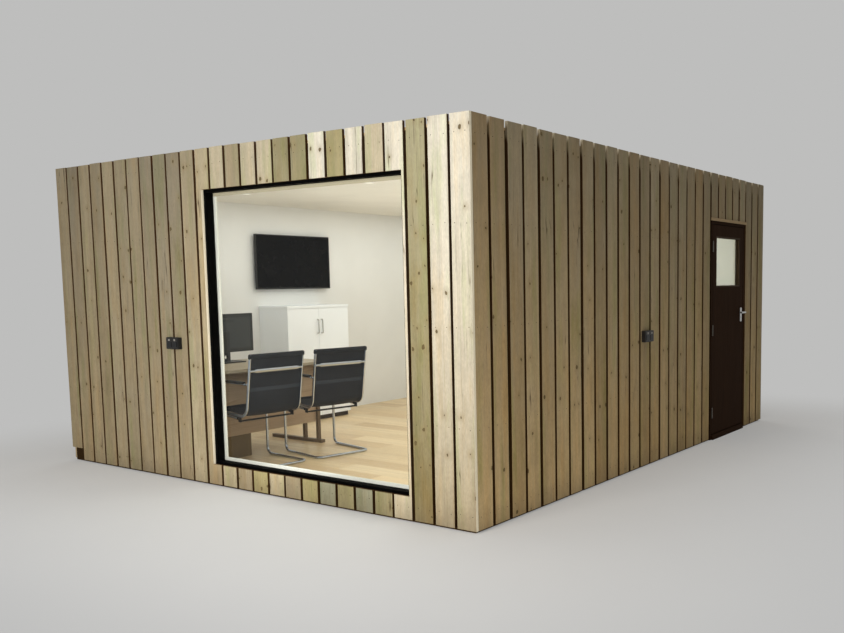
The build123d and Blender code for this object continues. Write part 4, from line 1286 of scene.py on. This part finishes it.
def sling_rows(work, grain, line, layer):
    """One face of a sling as rows of vertices. It sags at its middle, and is drawn in along the seams."""
    lengths = line_lengths(line)
    whole = lengths[-1]
    rows, columns = SLING_GRID
    for row in range(rows + 1):
        along = whole * row / rows
        index = max(i for i, length in enumerate(lengths[:-1]) if length <= along + 1e-9)
        before, after = line[index], line[index + 1]
        point = before.lerp(after, (along - lengths[index]) / (lengths[index + 1] - lengths[index]))
        up = ACROSS.cross((after - before).normalized())
        from_end = min(along, whole - along)
        seam = sum(math.exp(-((from_end - place) / SEAM_WIDTH) ** 2) for place in SEAM_PLACES)
        made = []
        for column in range(columns + 1):
            across = -SLING_HALF + 2 * SLING_HALF * column / columns
            sag = SLING_SAG * (1 - (across / SLING_HALF) ** 2) * math.sin(math.pi * row / rows)
            lift = (layer - 0.5) * SLING_THICKNESS - sag + (layer - 0.5) * -SEAM_DEPTH * seam
            vert = work.verts.new(point + ACROSS * across + up * lift)
            vert[grain] = Vector((across, along, 0.0))
            made.append(vert)
        yield made


def chair_sling(name, place, turn, material):
    """One stretched sheet of mesh from the seat's front to the top of the back, sagging a little."""
    work, rolls = bmesh.new(), bmesh.new()
    grain = work.verts.layers.float_vector.new("grain")
    line = side_line()
    whole = line_lengths(line)[-1]
    rows, columns = SLING_GRID
    low, high = (list(sling_rows(work, grain, line, layer)) for layer in (0, 1))
    for grid in (low, high):
        for lower, upper in zip(grid, grid[1:]):
            for column in range(columns):
                work.faces.new((lower[column], lower[column + 1], upper[column + 1], upper[column]))
    rim = ([(0, c) for c in range(columns)] + [(r, columns) for r in range(rows)]
           + [(rows, c) for c in range(columns, 0, -1)] + [(r, 0) for r in range(rows, 0, -1)])
    for (r1, c1), (r2, c2) in zip(rim, rim[1:] + rim[:1]):
        work.faces.new((low[r1][c1], low[r2][c2], high[r2][c2], high[r1][c1]))
    roll_grain = rolls.verts.layers.float_vector.new("grain")
    sling_hem(rolls, roll_grain, line[-1], line[-2] - line[-1])
    sling_hem(rolls, roll_grain, line[0], line[1] - line[0])
    for part in (work, rolls):
        bmesh.ops.transform(part, matrix=chair_matrix(place, turn), verts=part.verts)
    piece = new_piece(name, work, material, "chair_mesh", stands_for=("chair_slings",), smooth_under=60)
    hem = new_piece(f"{name}_hems", rolls, material, "chair_mesh", smooth_under=60)


def socket_details(node, wall, materials):
    """The face of an outdoor double socket: a raised plate, two hatches and two rocker switches."""
    low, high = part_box(node)
    width, depth = ((high - low).dot(Vector(map(abs, way))) for way in (wall.along, wall.outward))
    height = high.z - low.z
    turn = Matrix((wall.along, UP, wall.outward)).transposed().to_4x4()
    place = Matrix.Translation((low + high) / 2 + wall.outward * (depth / 2)) @ turn
    for (part, sizes), material in zip(SOCKET_PARTS.items(), materials):
        slot, sides, level, (wide, tall), proud, bevel = sizes
        work = bmesh.new()
        for x in (side * width for side in sides):
            y = level * height
            block(work, (x - width * wide / 2, y - height * tall / 2, -HAIR),
                  (x + width * wide / 2, y + height * tall / 2, proud), bevel)
        bmesh.ops.transform(work, matrix=place, verts=work.verts)
        new_piece(f"{node}_{part}", work, material, slot)


def downlight_lenses(material):
    """The lit fronts of the six downlights."""
    work = bmesh.new()
    grain = work.verts.layers.float_vector.new("grain")
    low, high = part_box("downlights")
    for x in (high.x - DOWNLIGHT_RADIUS, (low.x + high.x) / 2, low.x + DOWNLIGHT_RADIUS):
        for y in (low.y + DOWNLIGHT_RADIUS, high.y - DOWNLIGHT_RADIUS):
            made = disc(work, (x, y, low.z + LENS_SUNK), -UP, LENS_RADIUS, LENS_THICKNESS, 24, LENS_DOME)
            for vert in made:
                vert[grain] = Vector((vert.co.x - x, vert.co.y - y, 0.0))
    new_piece("downlight_lenses", work, material, "light_white", smooth_under=60)


def hinge_screws(material):
    """Countersunk screw heads on both plates of each of the three hinges."""
    low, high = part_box("hinges_on_frame")
    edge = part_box("door_leaf")[0].y
    feet = (low.z, (low.z + high.z - HINGE_LENGTH) / 2, high.z - HINGE_LENGTH)
    for node, body, y, facing in (("hinges_on_frame", "pod", edge - HINGE_GAP + HINGE_PLATE, 1),
                                  ("hinges_on_door", "door", edge - HINGE_PLATE, -1)):
        work = bmesh.new()
        for foot in feet:
            for share, x in HINGE_SCREWS:
                place = (low.x + x, y - facing * SCREW_SUNK, foot + HINGE_LENGTH * share)
                disc(work, place, (0, facing, 0), *HINGE_SCREW, sides=12)
        new_piece(f"{node}_screws", work, material, "steel", body)


def lever_plate_details(dark, screw):
    """Keyhole and two screws on each lever plate."""
    low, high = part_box("lever_plates")
    y = (low.y + high.y) / 2
    holes, heads = bmesh.new(), bmesh.new()
    for face, outward in ((high.x, 1), (low.x, -1)):
        back, front = face - outward * PLATE_SUNK, face + outward * 2 * PLATE_SUNK
        disc(holes, (back, y, low.z + KEYHOLE_HEIGHT), (outward, 0, 0), *KEYHOLE, sides=14)
        block(holes, (min(face, front), y - KEY_SLOT[0], low.z + KEY_SLOT[1]),
              (max(face, front), y + KEY_SLOT[0], low.z + KEY_SLOT[2]))
        for z in (low.z + PLATE_SCREW_INSET, high.z - PLATE_SCREW_INSET):
            disc(heads, (back, y, z), (outward, 0, 0), *PLATE_SCREW, sides=12)
    new_piece("lever_plate_keyholes", holes, dark, "black_plastic", "door")
    new_piece("lever_plate_screws", heads, screw, "steel", "door")


def dress(material, *names, bevel=0.0, segments=2):
    """Gives CAD nodes their material, and rounds their sharp edges without changing their meshes."""
    for name in names:
        node = NODES[name]
        node.data.materials.clear()
        node.data.materials.append(material)
        if not bevel:
            continue
        weld = node.modifiers.new("weld", "WELD")
        weld.merge_threshold = 1e-5
        flat = node.modifiers.new("flat", "DECIMATE")
        flat.decimate_type = "DISSOLVE"
        flat.angle_limit = math.radians(0.5)
        edge = node.modifiers.new("edge", "BEVEL")
        edge.width = bevel
        edge.segments = segments
        edge.limit_method = "ANGLE"
        edge.angle_limit = math.radians(30)
        edge.harden_normals = False


def dress_building():
    """Materials of the CAD nodes of the building that show as they are."""
    dress(wall_faces(), *(name for name in NODES if "_wall" in name))
    dress(painted(Tree("ceiling_paint"), srgb(234, 230, 220), 0.7, 300.0, 0.00018), "ceiling")
    joist = planed_timber("joist_wood", "YXZ", srgb(150, 118, 78), srgb(196, 166, 122))
    dress(joist, "roof_joists", bevel=0.002)
    base = planed_timber("base_wood", "YXZ", srgb(50, 42, 33), srgb(84, 72, 58))
    dress(base, "floor_base", bevel=0.003)
    frame_paint = moulded("black_frame", srgb(3, 3, 3), 0.7, 500.0, 0.00002, gloss=0.04)
    dress(frame_paint, "window_frame", bevel=0.0015)
    dress(clear_glass("window_pane", (0.965, 0.985, 0.975, 1.0)), "window_glass")
    dress(clear_glass("door_pane", (0.90, 0.94, 0.91, 1.0)), "door_glass")
    dress(bead_paint(), "window_beads", "door_lining", bevel=0.0015)


def dress_door():
    """Materials of the door, its frame and trim, its hinges and its lever set."""
    stain = (srgb(31, 17, 6), srgb(52, 32, 15), (0.72, 0.85), 0.009)
    upright = planed_timber("dark_stain", "YZX", *stain, 0.00025, 0.05)
    dress(upright, "door_leaf", bevel=0.002)
    dress(upright, "door_jambs", bevel=0.0015)
    level = planed_timber("dark_stain_level", "ZYX", *stain, 0.0002, 0.05)
    dress(level, "door_frame_head", "door_threshold", bevel=0.0015)
    beads = planed_timber("bead_stain", "YZX", srgb(46, 34, 23), srgb(70, 55, 38), (0.7, 0.8), gloss=0.15)
    dress(beads, "door_glass_beads", bevel=0.001)
    trim = planed_timber("trim_wood", "ZYX", srgb(146, 120, 84), srgb(196, 172, 134), (0.7, 0.85))
    dress(trim, "door_head_trim", bevel=0.001)
    steel = metal("hinge_steel", srgb(104, 99, 92), 0.42, (1.0, 1.0, 6.0))
    dress(steel, "hinges_on_frame", "hinges_on_door", bevel=0.0006)
    satin = metal("satin_metal", srgb(196, 195, 192), 0.26, (1.0, 1.0, 9.0))
    dress(satin, "lever_plates", bevel=0.0008)
    dress(satin, "door_levers", bevel=0.001)


def dress_fittings():
    """Materials of the sockets, lights and furniture that show as CAD nodes."""
    for name, colour, node in (("socket_box", srgb(26, 26, 27), "front_socket"),
                               ("socket_box_side", srgb(40, 37, 35), "right_socket")):
        dress(moulded(name, colour, 0.45, gloss=0.3), node, bevel=0.003, segments=3)
    dress(painted(Tree("light_rim"), srgb(240, 238, 232), 0.3, 900.0, 0.00003), "downlights", bevel=0.001)
    dress(moulded("black_plastic", srgb(18, 18, 19), 0.4), "television", bevel=0.002)
    dress(moulded("grey_plastic", srgb(44, 46, 47), 0.5), "monitor", bevel=0.002)
    dress(cupboard_finish(), "cupboard", bevel=0.0012)
    satin = (0.40, 0.52)
    # The top is greyer than the panel and lighter than the pedestal: partly painted highlight, the glare on
    # its surface
    for node, name, axes, dark, light, rough in (
            ("desk_top", "desk_wood", "XYZ", srgb(148, 134, 112), srgb(182, 168, 145), (0.34, 0.46)),
            ("desk_pedestal", "desk_side", "YZX", srgb(98, 82, 60), srgb(130, 111, 83), satin),
            ("desk_panel", "desk_panel", "ZYX", srgb(158, 134, 108), srgb(194, 170, 144), satin)):
        dress(planed_timber(name, axes, dark, light, rough, 0.010, 0.00008), node, bevel=0.0012)
    dress(moulded("leg_paint", srgb(106, 88, 68), 0.45, 900.0, 0.00004), "desk_leg", bevel=0.0012)


def add_camera():
    """The camera that sees the pod as the photograph does."""
    data = bpy.data.cameras.new("photo_camera")
    data.sensor_width = SENSOR_WIDTH
    data.lens = CAMERA_LENS
    data.shift_x, data.shift_y = CAMERA_SHIFT
    data.clip_end = CAMERA_REACH
    camera = bpy.data.objects.new("photo_camera", data)
    camera.location = CAMERA_PLACE
    camera.rotation_euler = [math.radians(turn) for turn in CAMERA_TURN]
    bpy.context.scene.collection.objects.link(camera)
    bpy.context.scene.camera = camera


def add_lamps():
    """Soft lamps that each point at a target and aren't seen themselves."""
    for name, place, target, size, power, colour, mirrored in LAMPS:
        data = bpy.data.lights.new(name, "AREA")
        data.shape = "RECTANGLE"
        data.size, data.size_y = size
        data.energy = power
        data.color = colour
        lamp = bpy.data.objects.new(name, data)
        lamp.location = place
        lamp.rotation_euler = (Vector(target) - Vector(place)).to_track_quat("-Z", "Y").to_euler()
        lamp.visible_camera = False
        lamp.visible_transmission = False
        lamp.visible_glossy = mirrored
        bpy.context.scene.collection.objects.link(lamp)


def add_world():
    """Even daylight from all round, and a pale grey where the camera, a mirror or a pane shows it."""
    tree = Tree("studio", bpy.data.worlds.new("studio"))
    bpy.context.scene.world = tree.owner
    tree.put(tree.shader.inputs["Color"], DAYLIGHT)
    tree.put(tree.shader.inputs["Strength"], DAYLIGHT_STRENGTH)
    tree.show(tree.seen(), tree.shader, tree.node("Background", BACKDROP))


def add_floor():
    """A plain pale floor that fades into the backdrop far from the pod and keeps its shadow near it."""
    tree = Tree("studio_floor")
    place = tree.place()
    colour = tree.varied(FLOOR_COLOUR, tree.noise(place, 0.7, 4.0, 0.6), 0.97, 1.02)
    tree.finish(colour, 0.85, tree.bump(tree.noise(place, 160.0, 3.0), 0.0004))
    beyond = tree.vector("SUBTRACT", tree.vector("ABSOLUTE", place), (CAD_BOX[1].x, CAD_BOX[1].y, 0.0))
    away = tree.vector("LENGTH", tree.vector("MAXIMUM", beyond, (0.0, 0.0, 0.0)))
    fade = tree.span(away, FADE_START, FADE_END, FADE_LEAST, 1.0, smooth=True)
    tree.show(tree.times(fade, tree.seen()), tree.shader, tree.node("Emission", BACKDROP))
    work = bmesh.new()
    corners = ((-1, -1), (1, -1), (1, 1), (-1, 1))
    work.faces.new([work.verts.new((x * FLOOR_HALF, y * FLOOR_HALF, 0.0)) for x, y in corners])
    floor = new_object("studio_floor", work, tree.owner)


def add_screens():
    """The glass of both screens, with the monitor's back cover and vents."""
    glossy = moulded("screen_glass", srgb(3, 3, 4), 0.22, 200.0, 0.000002, gloss=0.06)
    raised_panel("television_screen", *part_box("television"), 1, TELEVISION_PANEL, glossy)
    shell = moulded("monitor_shell", srgb(58, 61, 62), 0.5)
    monitor_pieces(glossy, shell, moulded("vent_slots", srgb(12, 12, 12), 0.6))


def add_chairs():
    """Frames, bars, arm pads and slings of the visitor chairs."""
    chrome = metal("chair_chrome", srgb(192, 202, 219), 0.12, relief=0.000004, spots=0.04)
    dark = moulded("seat_bar", srgb(24, 24, 25), 0.4)
    chair_frames(chrome, dark, moulded("arm_pad", srgb(22, 22, 23), 0.5))
    mesh = sling_mesh(line_lengths(side_line())[-1])
    for count, (place, turn) in enumerate(CHAIR_PLACES, 1):
        chair_sling(f"chair_sling_{count}", place, turn, mesh)


def add_pieces():
    """Every piece that Blender adds to the CAD nodes."""
    wood = sawn_board()
    nail = metal("nail_heads", srgb(74, 63, 52), 0.6)
    zinc = metal("zinc_screws", srgb(170, 168, 160), 0.35)
    front_boards(wood, nail)
    right_boards(wood, nail)
    plain_boards(LEFT, side_edges(), SIDE_TINTS, "left_cladding", wood, nail)
    plain_boards(BACK, front_edges(), COMMON_TINTS, "back_cladding", wood, nail)
    floor_planks(laminate())
    roof_sheets(strand_board(), zinc)
    add_screens()
    add_chairs()
    plate = metal("socket_plate", srgb(72, 70, 68), 0.45, (1.0, 1.0, 5.0))
    hatch = moulded("socket_hatch", srgb(22, 22, 23), 0.4, gloss=0.3)
    rocker = moulded("socket_rocker", srgb(128, 124, 118), 0.4)
    socket_details("front_socket", FRONT, (plate, hatch, rocker))
    socket_details("right_socket", RIGHT, (plate, hatch, rocker))
    downlight_lenses(glowing_lens())
    lever_plate_details(hatch, zinc)
    hinge_screws(zinc)


bpy.context.scene.view_settings.view_transform = "Standard"
add_camera()
add_world()
add_lamps()
add_floor()
dress_building()
dress_door()
dress_fittings()
add_pieces()
